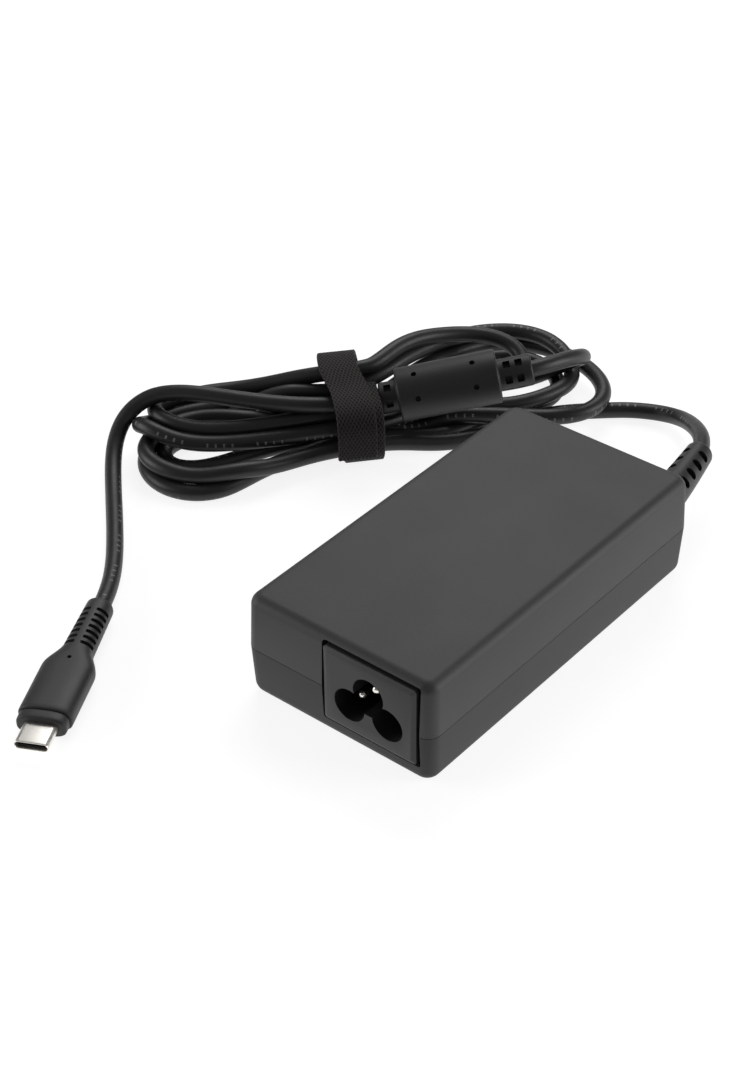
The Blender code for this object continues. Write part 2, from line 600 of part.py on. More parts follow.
def transformer(y):
    """E-core pair round a round bobbin whose winding is wrapped in tape."""
    x = BOARD_HALF_WIDTH - PART_SPACING - CORE_WIDTH / 2
    middle = y + CORE_DEPTH / 2
    z = SEAT + CORE_HEIGHT / 2
    window = CORE_HEIGHT - 2 * CORE_LEG
    bobbin_inner = CENTRE_LEG_RADIUS + GAP
    winding_outer = CORE_WIDTH / 2 - CORE_LEG - GAP
    for name, side in (("transformer_core_front", -1), ("transformer_core_rear", 1)):
        size = (CORE_WIDTH, CORE_DEPTH / 2 - GAP / 2, CORE_HEIGHT)
        centre = (x, middle + side * (CORE_DEPTH + GAP) / 4, z)
        core = box(name, size, centre, FERRITE_GREY)
        hollow = box(name + "_window", (CORE_WIDTH - 2 * CORE_LEG, CORE_DEPTH / 2 - CORE_LEG,
                                        2 * CORE_HEIGHT),
                     (x, middle + side * (CORE_DEPTH / 2 - CORE_LEG) / 2, z))
        leg = cylinder(name + "_leg", CENTRE_LEG_RADIUS, CORE_DEPTH / 2 - GAP / 2,
                       (x, centre[1], z), 'Y', sides=20)
        cut(core, hollow)
        cut(core, leg, 'UNION')
    inside = CORE_DEPTH / 2 - CORE_LEG - GAP
    bobbin_outer = bobbin_inner + BOBBIN_WALL
    cheek = min(winding_outer, CORE_HEIGHT / 2 - GAP)
    placement = frame_at(Vector((x, middle - inside, z)), Vector((0, 1, 0)))
    length = 2 * inside
    bobbin = [(bobbin_inner, length), (cheek, length), (cheek, length - BOBBIN_WALL),
              (bobbin_outer, length - BOBBIN_WALL), (bobbin_outer, BOBBIN_WALL),
              (cheek, BOBBIN_WALL), (cheek, 0.0), (bobbin_inner, 0.0)]
    turned("transformer_bobbin", bobbin, placement, EPOXY_BLACK, steps=20)
    low, high = BOBBIN_WALL + GAP, length - BOBBIN_WALL - GAP
    winding_inner = bobbin_outer + GAP
    winding_edge = min(winding_inner + WINDING_THICKNESS, cheek)
    winding = [(winding_inner, high), (winding_edge, high), (winding_edge, low),
               (winding_inner, low)]
    turned("transformer_winding", winding, placement, ((0.60, 0.45, 0.05), 0.45), steps=20)
    return y + CORE_DEPTH


def heat_sink(name, transistor_name, width, x, y):
    """A plate standing across the board, with a power device clipped flat to its front."""
    sink = box(name, (width, SINK_THICKNESS, SINK_HEIGHT),
               (x, y + SINK_THICKNESS / 2, SEAT + SINK_HEIGHT / 2), ALUMINIUM)
    foot = box(name + "_foot", (width, 2 * SINK_THICKNESS, SINK_THICKNESS),
               (x, y + SINK_THICKNESS, SEAT + SINK_THICKNESS / 2))
    cut(sink, foot, 'UNION')
    seated_box(transistor_name, TRANSISTOR_SIZE, x, y - GAP - TRANSISTOR_SIZE[1] / 2, EPOXY_BLACK)


def secondary_side(left, left_y, right_y):
    """Rear of the board: switching device, output rectifier, capacitors and control parts."""
    right = BOARD_HALF_WIDTH - PART_SPACING
    device = TRANSISTOR_SIZE[1] + GAP
    sink = 2 * SINK_THICKNESS
    heat_sink("primary_heat_sink", "switching_transistor", PRIMARY_SINK_WIDTH,
              left + PRIMARY_SINK_WIDTH / 2, left_y + PART_SPACING + device)
    heat_sink("secondary_heat_sink", "output_rectifier", SECONDARY_SINK_WIDTH,
              right - SECONDARY_SINK_WIDTH / 2, right_y + PART_SPACING + device)
    y = max(left_y, right_y) + 2 * PART_SPACING + device + sink
    can_y = y + OUTPUT_CAPACITOR_RADIUS
    step = 2 * OUTPUT_CAPACITOR_RADIUS + PART_SPACING
    for number in range(2):
        seated_can("output_capacitor_%d" % (number + 1), OUTPUT_CAPACITOR_RADIUS,
                   OUTPUT_CAPACITOR_HEIGHT, left + OUTPUT_CAPACITOR_RADIUS + number * step, can_y,
                   CAN_BLUE)
    x = left + 2 * step + Y_CAPACITOR_THICKNESS / 2
    cylinder("y_capacitor", Y_CAPACITOR_RADIUS, Y_CAPACITOR_THICKNESS,
             (x, can_y, SEAT + Y_CAPACITOR_RADIUS), 'X', ((0.05, 0.15, 0.45), 0.4), sides=20)
    x += Y_CAPACITOR_THICKNESS / 2 + PART_SPACING + OPTOCOUPLER_SIZE[0] / 2
    seated_box("optocoupler", OPTOCOUPLER_SIZE, x, can_y, ((0.8, 0.8, 0.78), 0.5))
    x += (OPTOCOUPLER_SIZE[0] + CHIP_SIZE[0]) / 2 + PART_SPACING
    seated_box("controller_chip", CHIP_SIZE, x, can_y, EPOXY_BLACK, chamfer=PART_EDGE / 2)


def cooling_plates():
    """Heat spreader under the top cover, behind the inlet, and the insulating sheet below it."""
    top = CEILING - GAP
    half_x = inner_half(CASE_WIDTH, CEILING) - BOARD_CLEARANCE
    half_y = inner_half(CASE_LENGTH, CEILING) - BOARD_CLEARANCE
    front = HOUSING_BACK + BOARD_CLEARANCE
    span_box("heat_spreader", (-half_x, front, top - SPREADER_THICKNESS), (half_x, half_y, top),
             ALUMINIUM)
    top -= SPREADER_THICKNESS + GAP
    span_box("insulating_sheet", (-half_x, front, top - SHEET_THICKNESS), (half_x, half_y, top),
             ((0.75, 0.72, 0.6), 0.6))


# ---------------------------------------------------------------- cord gland and wires

GLAND_ROOT = Vector((GLAND_X, REAR_FACE, GLAND_HEIGHT))


def gland_point(distance):
    """Centre line of the gland: straight through the wall, then leaning to one side."""
    lean = GLAND_SWEEP * max(distance / GLAND_LENGTH, 0.0) ** GLAND_CURL
    return GLAND_ROOT + Vector((lean, distance, 0.0))


def gland_placement(distance):
    ahead = gland_point(distance + MM) - gland_point(distance - MM)
    return frame_at(gland_point(distance), ahead)


GLAND_INSIDE = inner_half(CASE_LENGTH, GLAND_HEIGHT) - REAR_FACE - GAP - GLAND_FLANGE_THICKNESS
GLAND_STATIONS = [GLAND_INSIDE, 0.0] + [GLAND_LENGTH * k / 6 for k in range(1, 7)]


def ring_of(placement, radius, count=16):
    return [placement @ Vector((radius * math.cos(2 * math.pi * k / count),
                                radius * math.sin(2 * math.pi * k / count), 0.0))
            for k in range(count)]


def output_gland():
    """Flexible strain relief with ribs, trapped in the rear wall by its inner flange."""
    flange_end = GLAND_INSIDE + GLAND_FLANGE_THICKNESS
    taper = (GLAND_TIP_RADIUS - GLAND_ROOT_RADIUS) / GLAND_LENGTH
    stations = [(GLAND_INSIDE, GLAND_FLANGE_RADIUS), (flange_end, GLAND_FLANGE_RADIUS),
                (flange_end, GLAND_ROOT_RADIUS), (0.0, GLAND_ROOT_RADIUS)]
    stations += [(d, GLAND_ROOT_RADIUS + taper * d) for d in GLAND_STATIONS[2:-1]]
    stations += [(GLAND_LENGTH - GLAND_TIP_ROUND, GLAND_TIP_RADIUS),
                 (GLAND_LENGTH, GLAND_TIP_RADIUS - GLAND_TIP_ROUND)]
    gland = loft("output_gland", [ring_of(gland_placement(d), r) for d, r in stations], CORD_PVC)
    through = [GLAND_INSIDE - MM] + GLAND_STATIONS[1:] + [GLAND_LENGTH + MM]
    cut(gland, loft("gland_bore", [ring_of(gland_placement(d), CORD_BORE) for d in through]))
    first = GLAND_LENGTH - SLOT_PITCH * SLOT_COUNT
    places = [gland_placement(first + SLOT_PITCH * k) for k in range(SLOT_COUNT)]
    slots = slot_cutter("gland_slots", places, CORD_RADIUS, 2 * GLAND_ROOT_RADIUS, SLOT_WIDTH,
                        GLAND_TIP_RADIUS)
    cut(gland, slots)


def output_wires():
    """Two insulated wires from the cord's end down to the board."""
    start_y = REAR_FACE + GLAND_INSIDE - GAP
    for name, side, rgb in (("output_wire_positive", 1, (0.5, 0.02, 0.02)),
                            ("output_wire_negative", -1, (0.02, 0.02, 0.02))):
        x = GLAND_X + side * (WIRE_RADIUS + GAP)
        drop = GLAND_HEIGHT - SEAT
        points = [Vector((x, start_y - drop * forward, GLAND_HEIGHT - drop * down))
                  for forward, down in WIRE_BEND]
        tube(name, smooth_route(points, drop / 6), WIRE_RADIUS, (rgb, 0.5), bevel_resolution=1)


# ---------------------------------------------------------------- hank, strap and cords

def hank_point(s, t, z):
    return HANK_ORIGIN + HANK_DIRECTION * s + HANK_ACROSS * t + Vector((0, 0, z))


def hank_outline():
    """Two round ends joined by a waist, each side a smooth blend between them."""
    left_s, left_t, left_r = HANK_LEFT
    right_s, right_t, right_r = HANK_RIGHT
    outline = []
    for k in range(13):
        a = math.radians(-90 + 15 * k)
        outline.append((right_s + right_r * math.cos(a), right_t + right_r * math.sin(a)))
    for u in (0.25, 0.5, 0.75):
        blend = 0.5 - 0.5 * math.cos(math.pi * u)
        top = right_t + right_r
        outline.append((right_s * (1 - u), top + (WAIST_HALF_WIDTH - top) * blend))
    for u in (0.0, 0.5):
        top = left_t + left_r
        outline.append((left_s * u, WAIST_HALF_WIDTH + (top - WAIST_HALF_WIDTH) * u))
    for k in range(13):
        a = math.radians(90 + 15 * k)
        outline.append((left_s + left_r * math.cos(a), left_t + left_r * math.sin(a)))
    low = left_t - left_r
    outline.append((left_s * 0.5, 0.5 * (low - WAIST_HALF_WIDTH)))
    outline.append((0.0, -WAIST_HALF_WIDTH))
    for u in (0.33, 0.67):
        blend = 0.5 - 0.5 * math.cos(math.pi * u)
        low = right_t - right_r
        outline.append((right_s * u, -WAIST_HALF_WIDTH + (low + WAIST_HALF_WIDTH) * blend))
    return outline


def strap_ring(s, offset, count=28):
    """Rounded section of the strap's loop, grown outwards by offset."""
    half = STRAP_HALF_WIDTH - STRAP_THICKNESS + offset
    height = STRAP_HEIGHT / 2 - STRAP_THICKNESS + offset
    power = 2 / STRAP_SQUARENESS
    points = []
    for k in range(count):
        c, n = math.cos(2 * math.pi * k / count), math.sin(2 * math.pi * k / count)
        t = half * math.copysign(abs(c) ** power, c)
        z = STRAP_HEIGHT / 2 + height * math.copysign(abs(n) ** power, n)
        points.append(hank_point(s, t, z))
    return points


def hank():
    curve = bpy.data.curves.new("cord_hank_outline", 'CURVE')
    curve.dimensions = '2D'
    curve.fill_mode = 'BOTH'
    curve.extrude = HANK_HEIGHT / 2
    spline = curve.splines.new('POLY')
    outline = hank_outline()
    spline.points.add(len(outline) - 1)
    for target, (s, t) in zip(spline.points, outline):
        target.co = (s, t, 0.0, 1.0)
    spline.use_cyclic_u = True
    flat = bpy.data.objects.new("cord_hank_outline", curve)
    CUTTERS.objects.link(flat)
    turn = Matrix((HANK_DIRECTION, HANK_ACROSS, Vector((0, 0, -1)))).transposed().to_4x4()
    flat.matrix_world = Matrix.Translation(hank_point(0, 0, HANK_HEIGHT / 2)) @ turn
    bpy.context.view_layer.update()
    solid = bpy.data.meshes.new_from_object(flat.evaluated_get(bpy.context.evaluated_depsgraph_get()))
    solid.transform(flat.matrix_world)
    bpy.data.objects.remove(flat)
    bm = bmesh.new()
    bm.from_mesh(solid)
    bmesh.ops.remove_doubles(bm, verts=bm.verts, dist=0.00001)
    made = mesh_from(bm, "cord_hank", CORD_PVC)
    # A groove round the waist leaves room for the strap.
    half_strap = STRAP_WIDTH / 2 + GAP
    outside = box("hank_groove", (2 * half_strap, 4 * STRAP_HALF_WIDTH, 4 * STRAP_HEIGHT),
                  hank_point(0, 0, STRAP_HEIGHT / 2),
                  turn=Matrix.Rotation(math.atan2(HANK_DIRECTION.y, HANK_DIRECTION.x), 4, 'Z'))
    inside = [strap_ring(s, -GAP) for s in (-2 * half_strap, 2 * half_strap)]
    cut(outside, loft("hank_groove_core", inside))
    cut(made, outside)


def strap():
    outside = [strap_ring(s, STRAP_THICKNESS) for s in (-STRAP_WIDTH / 2, STRAP_WIDTH / 2)]
    band = loft("hook_and_loop_strap", outside, ((0.022, 0.020, 0.020), 0.8))
    cut(band, loft("strap_inside", [strap_ring(s, 0.0) for s in (-STRAP_WIDTH, STRAP_WIDTH)]))


def ferrite_axis():
    flat = HANK_DIRECTION * math.cos(FERRITE_TURN) + HANK_ACROSS * math.sin(FERRITE_TURN)
    direction = flat * math.cos(FERRITE_TILT) + Vector((0, 0, 1)) * math.sin(FERRITE_TILT)
    return hank_point(*FERRITE_LEFT_END, FERRITE_HEIGHT), direction


def ferrite():
    """Moulded cover with a strain relief at each end, round a bored ferrite core."""
    start, direction = ferrite_axis()
    placement = frame_at(start, direction)
    length, edge = FERRITE_LENGTH, FERRITE_EDGE
    left_end, right_end = -FERRITE_LEFT_RELIEF, length + FERRITE_RIGHT_RELIEF
    inner = FERRITE_RADIUS - FERRITE_WALL
    profile = [(CORD_BORE, right_end), (FERRITE_RELIEF_RADIUS - edge, right_end),
               (FERRITE_RELIEF_RADIUS, right_end - edge), (FERRITE_RELIEF_RADIUS, length),
               (FERRITE_RADIUS - edge, length), (FERRITE_RADIUS, length - edge),
               (FERRITE_RADIUS, edge), (FERRITE_RADIUS - edge, 0.0), (FERRITE_RELIEF_RADIUS, 0.0),
               (FERRITE_RELIEF_RADIUS, left_end + edge), (FERRITE_RELIEF_RADIUS - edge, left_end),
               (CORD_BORE, left_end), (CORD_BORE, FERRITE_WALL), (inner, FERRITE_WALL),
               (inner, length - FERRITE_WALL), (CORD_BORE, length - FERRITE_WALL)]
    cover = turned("ferrite_cover", profile, placement, CASE_PLASTIC, steps=20)
    core_low, core_high = FERRITE_WALL + GAP, length - FERRITE_WALL - GAP
    core = [(CORD_BORE, core_high), (inner - GAP, core_high), (inner - GAP, core_low),
            (CORD_BORE, core_low)]
    turned("ferrite_core", core, placement, FERRITE_GREY, steps=16)
    bm = bmesh.new()
    for height in (VENT_INSET, length - VENT_INSET):
        for degrees in VENT_ANGLES:
            turn = Matrix.Rotation(math.radians(degrees), 4, 'Z')
            out = Matrix.Translation((FERRITE_RADIUS, 0, height))
            across = Matrix.Rotation(math.pi / 2, 4, 'Y')
            bmesh.ops.create_cone(bm, cap_ends=True, segments=8, radius1=VENT_RADIUS,
                                  radius2=VENT_RADIUS, depth=3 * FERRITE_WALL,
                                  matrix=placement @ turn @ out @ across)
    cut(cover, mesh_from(bm, "ferrite_vents"))
    middles = [left_end * share for share in LEFT_RELIEF_SLOTS]
    middles += [length + FERRITE_RIGHT_RELIEF * share for share in RIGHT_RELIEF_SLOTS]
    places = [placement @ Matrix.Translation((0, 0, middle)) for middle in middles]
    cut(cover, slot_cutter("ferrite_relief_slots", places, CORD_RADIUS, FERRITE_RADIUS - 3 * edge,
                           FERRITE_SLOT_WIDTH, FERRITE_RELIEF_RADIUS * 0.8))


def at_hank_edge(point):
    """Where a cord that points at the middle of the right loops meets the hank's round end."""
    middle = hank_point(HANK_RIGHT[0], HANK_RIGHT[1], point.z)
    return middle + (point - middle).normalized() * (HANK_RIGHT[2] + 2 * GAP)


def cords():
    # From inside the case, through the gland, to the right end of the hank.
    inside = [gland_point(d) for d in GLAND_STATIONS]
    outside = smooth_route([inside[-1]] + [hank_point(*(Vector(p) * MM)) for p in ROUTE_TO_HANK],
                           3 * CORD_RADIUS)
    tube("cord_case_to_hank", inside + outside[1:] + [at_hank_edge(outside[-1])], CORD_RADIUS,
         CORD_PVC)
    # Up out of the hank's right loops, through the ferrite and the strap, to the plug.
    start, direction = ferrite_axis()
    straight = [start + direction * d for d in
                (FERRITE_LENGTH + FERRITE_RIGHT_RELIEF, FERRITE_LENGTH / 2, -FERRITE_LEFT_RELIEF)]
    before = [hank_point(*(Vector(p) * MM)) for p in ROUTE_TO_FERRITE]
    after = [hank_point(*(Vector(p) * MM)) for p in ROUTE_TO_PLUG]
    plug = [PLUG_START + PLUG_DIRECTION * d
            for d in (0.0, PLUG_RELIEF_LENGTH / 2, PLUG_CAVITY_START - 2 * GAP)]
    first = smooth_route(before + straight[:1], 2 * CORD_RADIUS)
    second = smooth_route(straight[-1:] + after + plug[:1], 3 * CORD_RADIUS)
    tube("cord_hank_to_plug", first + straight[1:-1] + second + plug[1:], CORD_RADIUS, CORD_PVC)


# ---------------------------------------------------------------- USB-C plug

def plug_placement(distance):
    return frame_at(PLUG_START + PLUG_DIRECTION * distance, PLUG_DIRECTION)


def oval(distance, half_width, half_height, squareness=PLUG_SQUARENESS, count=20):
    """Rounded section across the plug at a distance from its cord end."""
    placement = plug_placement(distance)
    power = 2 / squareness
    points = []
    for k in range(count):
        c, n = math.cos(2 * math.pi * k / count), math.sin(2 * math.pi * k / count)
        points.append(placement @ Vector((half_width * math.copysign(abs(c) ** power, c),
                                          half_height * math.copysign(abs(n) ** power, n), 0.0)))
    return points


def stadium(distance, width, height, count=6):
    """Flat-sided section with round ends, like the metal shell's."""
    placement = plug_placement(distance)
    radius = height / 2
    centre = width / 2 - radius
    points = []
    for side in (1, -1):
        for k in range(count + 1):
            a = math.pi * k / count - math.pi / 2
            points.append(placement @ Vector((side * (centre + radius * math.cos(a)),
                                              side * radius * math.sin(a), 0.0)))
    return points


def usb_c_plug():
    width, height = PLUG_HALF_WIDTH, PLUG_HALF_HEIGHT
    tip = PLUG_RELIEF_RADIUS
    root = PLUG_RELIEF_RADIUS * PLUG_RELIEF_GROWTH
    round_section = 2.2
    rings = [oval(0.0, tip - PLUG_TIP_ROUND, tip - PLUG_TIP_ROUND, round_section),
             oval(PLUG_TIP_ROUND, tip, height, round_section),
             oval(PLUG_RELIEF_LENGTH, root, height, round_section)]
    for u in (0.2, 0.4, 0.6, 0.8, 1.0):
        blend = 0.5 - 0.5 * math.cos(math.pi * u)
        rings.append(oval(PLUG_RELIEF_LENGTH + PLUG_SHOULDER * u, root + (width - root) * blend,
                          height, round_section + (PLUG_SQUARENESS - round_section) * u))
    rings += [oval(PLUG_BODY_END - PLUG_TIP_ROUND, width, height),
              oval(PLUG_BODY_END, width - PLUG_TIP_ROUND / 2, height - PLUG_TIP_ROUND / 2)]
    body = loft("plug_overmould", rings, CASE_PLASTIC)
    bore = loft("plug_bore", [ring_of(plug_placement(d), CORD_BORE)
                              for d in (-MM, PLUG_CAVITY_START + MM)])
    cut(body, bore)
    spigot_width = SHELL_WIDTH / 2 + 4 * SHELL_WALL
    spigot_height = SHELL_HEIGHT / 2 + 3 * SHELL_WALL
    cavity = loft("plug_cavity", [stadium(d, 2 * (spigot_width + GAP), 2 * (spigot_height + GAP))
                                  for d in (PLUG_CAVITY_START, PLUG_BODY_END + MM)])
    cut(body, cavity)
    last = PLUG_RELIEF_LENGTH - PLUG_SLOT_WIDTH
    places = [plug_placement(last - PLUG_SLOT_PITCH * k) for k in range(PLUG_SLOT_COUNT)]
    cut(body, slot_cutter("plug_slots", places, CORD_RADIUS, 2 * tip, PLUG_SLOT_WIDTH,
                          PLUG_SLOT_SPAN))
    plug_front(spigot_width, spigot_height)


def plug_front(spigot_width, spigot_height):
    """Collar, metal shell, contact insulator and the small board behind them."""
    collar_start = PLUG_BODY_END + GAP
    collar_end = collar_start + COLLAR_LENGTH
    width, height = PLUG_HALF_WIDTH - COLLAR_STEP, PLUG_HALF_HEIGHT - COLLAR_STEP
    collar = loft("plug_collar", [oval(collar_start, width, height),
                                  oval(collar_end - COLLAR_ROUND, width, height),
                                  oval(collar_end, width - COLLAR_ROUND, height - COLLAR_ROUND)],
                  CASE_PLASTIC)
    spigot = loft("collar_spigot", [stadium(d, 2 * spigot_width, 2 * spigot_height)
                                    for d in (collar_start - COLLAR_SPIGOT, collar_start + COLLAR_ROUND)])
    cut(collar, spigot, 'UNION')
    window = loft("collar_window", [stadium(d, SHELL_WIDTH + 2 * GAP, SHELL_HEIGHT + 2 * GAP)
                                    for d in (collar_start - 2 * COLLAR_SPIGOT, collar_end + MM)])
    cut(collar, window)
    mouth = collar_end + SHELL_REACH
    shell_start = mouth - SHELL_LENGTH
    shell = loft("usb_c_shell", [stadium(d, SHELL_WIDTH, SHELL_HEIGHT) for d in (shell_start, mouth)],
                 NICKEL)
    inner_width, inner_height = SHELL_WIDTH - 2 * SHELL_WALL, SHELL_HEIGHT - 2 * SHELL_WALL
    cut(shell, loft("shell_inside", [stadium(d, inner_width, inner_height)
                                     for d in (shell_start - MM, mouth + MM)]))
    insulator_size = (inner_width - 2 * GAP, inner_height - 2 * GAP)
    insulator = [stadium(d, *insulator_size) for d in (shell_start, mouth - MOUTH_DEPTH)]
    loft("usb_c_insulator", insulator, EPOXY_BLACK)
    board_start = PLUG_CAVITY_START + 2 * GAP
    board_end = shell_start - GAP
    middle = PLUG_START + PLUG_DIRECTION * (board_start + board_end) / 2
    board = box("plug_paddle_board", (SHELL_WIDTH, PADDLE_THICKNESS, board_end - board_start),
                middle, BOARD_GREEN)
    board.matrix_world = frame_at(middle, PLUG_DIRECTION)


# ---------------------------------------------------------------- assembly

def build():
    case_covers()
    inlet_housing()
    inlet_pins()
    circuit_board()
    left, left_y = primary_side()
    choke_y = filter_choke(HOUSING_BACK + PIN_TAIL + PART_SPACING)
    right_y = transformer(choke_y + PART_SPACING)
    secondary_side(left, left_y, right_y)
    cooling_plates()
    output_gland()
    output_wires()
    hank()
    strap()
    ferrite()
    cords()
    usb_c_plug()


build()
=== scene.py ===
"""Looks of the laptop power adapter: covers, inlet, gland, strapped cord, ferrite, plug and studio.

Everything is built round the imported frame, in metres with +Z up; the cord's routes are in
millimetres in the hank's own frame: s along it, t across it, z up.
"""
import json
import math

import bmesh
import bpy
import numpy as np
from mathutils import Matrix, Vector


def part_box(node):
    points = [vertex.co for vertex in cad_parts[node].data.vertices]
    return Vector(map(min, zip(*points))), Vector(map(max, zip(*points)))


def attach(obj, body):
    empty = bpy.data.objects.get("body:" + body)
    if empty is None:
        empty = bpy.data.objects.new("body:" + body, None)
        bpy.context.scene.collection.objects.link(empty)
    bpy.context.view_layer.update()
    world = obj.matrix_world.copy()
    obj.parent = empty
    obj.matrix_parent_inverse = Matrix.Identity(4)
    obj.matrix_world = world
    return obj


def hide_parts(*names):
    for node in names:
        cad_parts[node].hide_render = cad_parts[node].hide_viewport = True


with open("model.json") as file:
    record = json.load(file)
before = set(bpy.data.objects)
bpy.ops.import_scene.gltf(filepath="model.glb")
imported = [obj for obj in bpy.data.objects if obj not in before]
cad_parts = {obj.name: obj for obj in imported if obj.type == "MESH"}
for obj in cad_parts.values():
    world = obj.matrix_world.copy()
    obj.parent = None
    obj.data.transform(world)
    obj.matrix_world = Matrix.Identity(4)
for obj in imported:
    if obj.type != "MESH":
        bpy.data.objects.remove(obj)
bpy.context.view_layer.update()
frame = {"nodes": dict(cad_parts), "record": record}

MM = 0.001
GAP = 0.3 * MM
SCENE = bpy.context.scene


def node_box(name):
    low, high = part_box(name)
    return Vector(low), Vector(high)


# ---------------------------------------------------------------- sizes, worked out from the frame

TOP_LOW, TOP_HIGH = node_box("top_cover")
HOUSING_LOW, HOUSING_HIGH = node_box("inlet_housing")

CASE_WIDTH = TOP_HIGH.x - TOP_LOW.x
CASE_LENGTH = TOP_HIGH.y - TOP_LOW.y
CASE_HEIGHT = TOP_HIGH.z
PARTING_HEIGHT = (node_box("bottom_cover")[1].z + TOP_LOW.z) / 2
FRONT_FACE = TOP_LOW.y
REAR_FACE = TOP_HIGH.y
WALL = 2.2 * MM
UPPER_DRAFT = 0.032
LOWER_DRAFT = 0.044
CORNER_RADIUS = 3.5 * MM
TOP_EDGE_RADIUS = 2.7 * MM
BOTTOM_EDGE_RADIUS = 3.0 * MM
PARTING_CHAMFER = 0.1 * MM
HAIRLINE = 0.1 * MM               # what shows of the gap between the covers

PANEL_WIDTH = 26.2 * MM
PANEL_SIDE_MARGIN = 4.0 * MM
PANEL_LOW = 5.2 * MM
PANEL_TOP_MARGIN = 2.1 * MM
PANEL_FACE = HOUSING_LOW.y
PANEL_HIGH = CASE_HEIGHT - PANEL_TOP_MARGIN
PANEL_MIDDLE = (PANEL_LOW + PANEL_HIGH) / 2
INLET_X = CASE_WIDTH / 2 - PANEL_SIDE_MARGIN - PANEL_WIDTH / 2
OPENING_GAP = 0.8 * MM
LOBE_RADIUS = 4.3 * MM
LOBE_SPACING = 10.8 * MM
LOBE_HEIGHT = PANEL_MIDDLE - 2.65 * MM
EARTH_HEIGHT = LOBE_HEIGHT + 5.5 * MM
TONGUE_DROP = 0.2 * MM
SOCKET_DEPTH = 14.0 * MM
PIN_RADIUS = 1.15 * MM

CORD_RADIUS = 2.2 * MM
GLAND_ROOT = Vector((CASE_WIDTH / 2 - 9.6 * MM, REAR_FACE, PARTING_HEIGHT + 0.6 * MM))
GLAND_LENGTH = 27.0 * MM
GLAND_ROOT_RADIUS = 4.9 * MM
GLAND_TIP_RADIUS = 3.55 * MM
GLAND_SWEEP = -4.6 * MM
GLAND_CURL = 1.25

HANK_ORIGIN = Vector((-74.0, 43.0, 0.0)) * MM
HANK_DIRECTION = Vector((0.65, 0.76, 0.0)).normalized()
HANK_ACROSS = Vector((HANK_DIRECTION.y, -HANK_DIRECTION.x, 0.0))

FERRITE_RADIUS = 7.25 * MM
FERRITE_LENGTH = 27.1 * MM
FERRITE_WALL = 1.1 * MM
FERRITE_RELIEF_RADIUS = 4.3 * MM
FERRITE_LEFT_RELIEF = 4.8 * MM
FERRITE_RIGHT_RELIEF = 9.1 * MM
FERRITE_LEFT_END = (11.85, 4.9, 16.24)
FERRITE_TURN = math.radians(5.75)
FERRITE_TILT = math.radians(10)

PLUG_START = Vector((-72.4, -53.9, 3.5)) * MM
PLUG_DIRECTION = Vector((0.458, -0.889, 0.0)).normalized()


def hank_point(s, t, z):
    """A point given in millimetres in the hank's frame."""
    return HANK_ORIGIN + (HANK_DIRECTION * s + HANK_ACROSS * t + Vector((0, 0, z))) * MM


def in_hank(point):
    """The hank's s, t and z, in millimetres, of a point."""
    away = (point - HANK_ORIGIN) / MM
    return away.dot(HANK_DIRECTION), away.dot(HANK_ACROSS), away.z


def frame_at(origin, direction, up=Vector((0, 0, 1))):
    """A placement with +Z along direction and +Y as near up as it can be."""
    z = direction.normalized()
    x = up.cross(z).normalized()
    turn = Matrix((x, z.cross(x), z)).transposed().to_4x4()
    return Matrix.Translation(origin) @ turn


def gland_point(distance):
    """Centre line of the gland: straight through the wall, then leaning to one side."""
    lean = GLAND_SWEEP * max(distance / GLAND_LENGTH, 0.0) ** GLAND_CURL
    return GLAND_ROOT + Vector((lean, distance, 0.0))


def gland_placement(distance):
    ahead = gland_point(distance + MM) - gland_point(distance - MM)
    return frame_at(gland_point(distance), ahead)


def ferrite_placement():
    start = hank_point(*FERRITE_LEFT_END)
    return frame_at(start, hank_point(*ferrite_point(1.0)) - start)


def ferrite_point(distance):
    """A point on the ferrite's axis, in the hank's millimetres."""
    flat = distance * math.cos(FERRITE_TILT)
    return (FERRITE_LEFT_END[0] + math.cos(FERRITE_TURN) * flat,
            FERRITE_LEFT_END[1] + math.sin(FERRITE_TURN) * flat,
            FERRITE_LEFT_END[2] + math.sin(FERRITE_TILT) * distance)


def plug_placement(distance):
    return frame_at(PLUG_START + PLUG_DIRECTION * distance, PLUG_DIRECTION)


# ---------------------------------------------------------------- camera

LENS = 73.84                                  # millimetres, on a 36 mm sensor
CAMERA_AZIMUTH = math.radians(39.786)
CAMERA_ELEVATION = math.radians(36.659)
CAMERA_ROLL = math.radians(-0.684)
CAMERA_DISTANCE = 558.85 * MM
CAMERA_TARGET = Vector((-43.60, 13.15, 0.0)) * MM


def place_camera():
    data = bpy.data.cameras.new("camera")
    data.lens = LENS
    camera = bpy.data.objects.new("camera", data)
    SCENE.collection.objects.link(camera)
    back = Vector((math.sin(CAMERA_AZIMUTH) * math.cos(CAMERA_ELEVATION),
                   -math.cos(CAMERA_AZIMUTH) * math.cos(CAMERA_ELEVATION),
                   math.sin(CAMERA_ELEVATION)))
    right = Vector((0, 0, 1)).cross(back).normalized()
    up = back.cross(right)
    axes = Matrix((right, up, back)).transposed().to_4x4()
    camera.matrix_world = (Matrix.Translation(CAMERA_TARGET + back * CAMERA_DISTANCE) @ axes
                           @ Matrix.Rotation(CAMERA_ROLL, 4, 'Z'))
    SCENE.camera = camera
    bpy.context.view_layer.update()
    return camera


# ---------------------------------------------------------------- materials

def nodes_of(name):
    made = bpy.data.materials.new(name)
    made.use_nodes = True
    tree = made.node_tree
    return made, tree, tree.nodes["Principled BSDF"]


def connect(tree, value, socket):
    """Set a socket to a number or a colour, or link it where the value is a socket too."""
    if isinstance(value, bpy.types.NodeSocket):
        tree.links.new(value, socket)
    else:
        socket.default_value = value


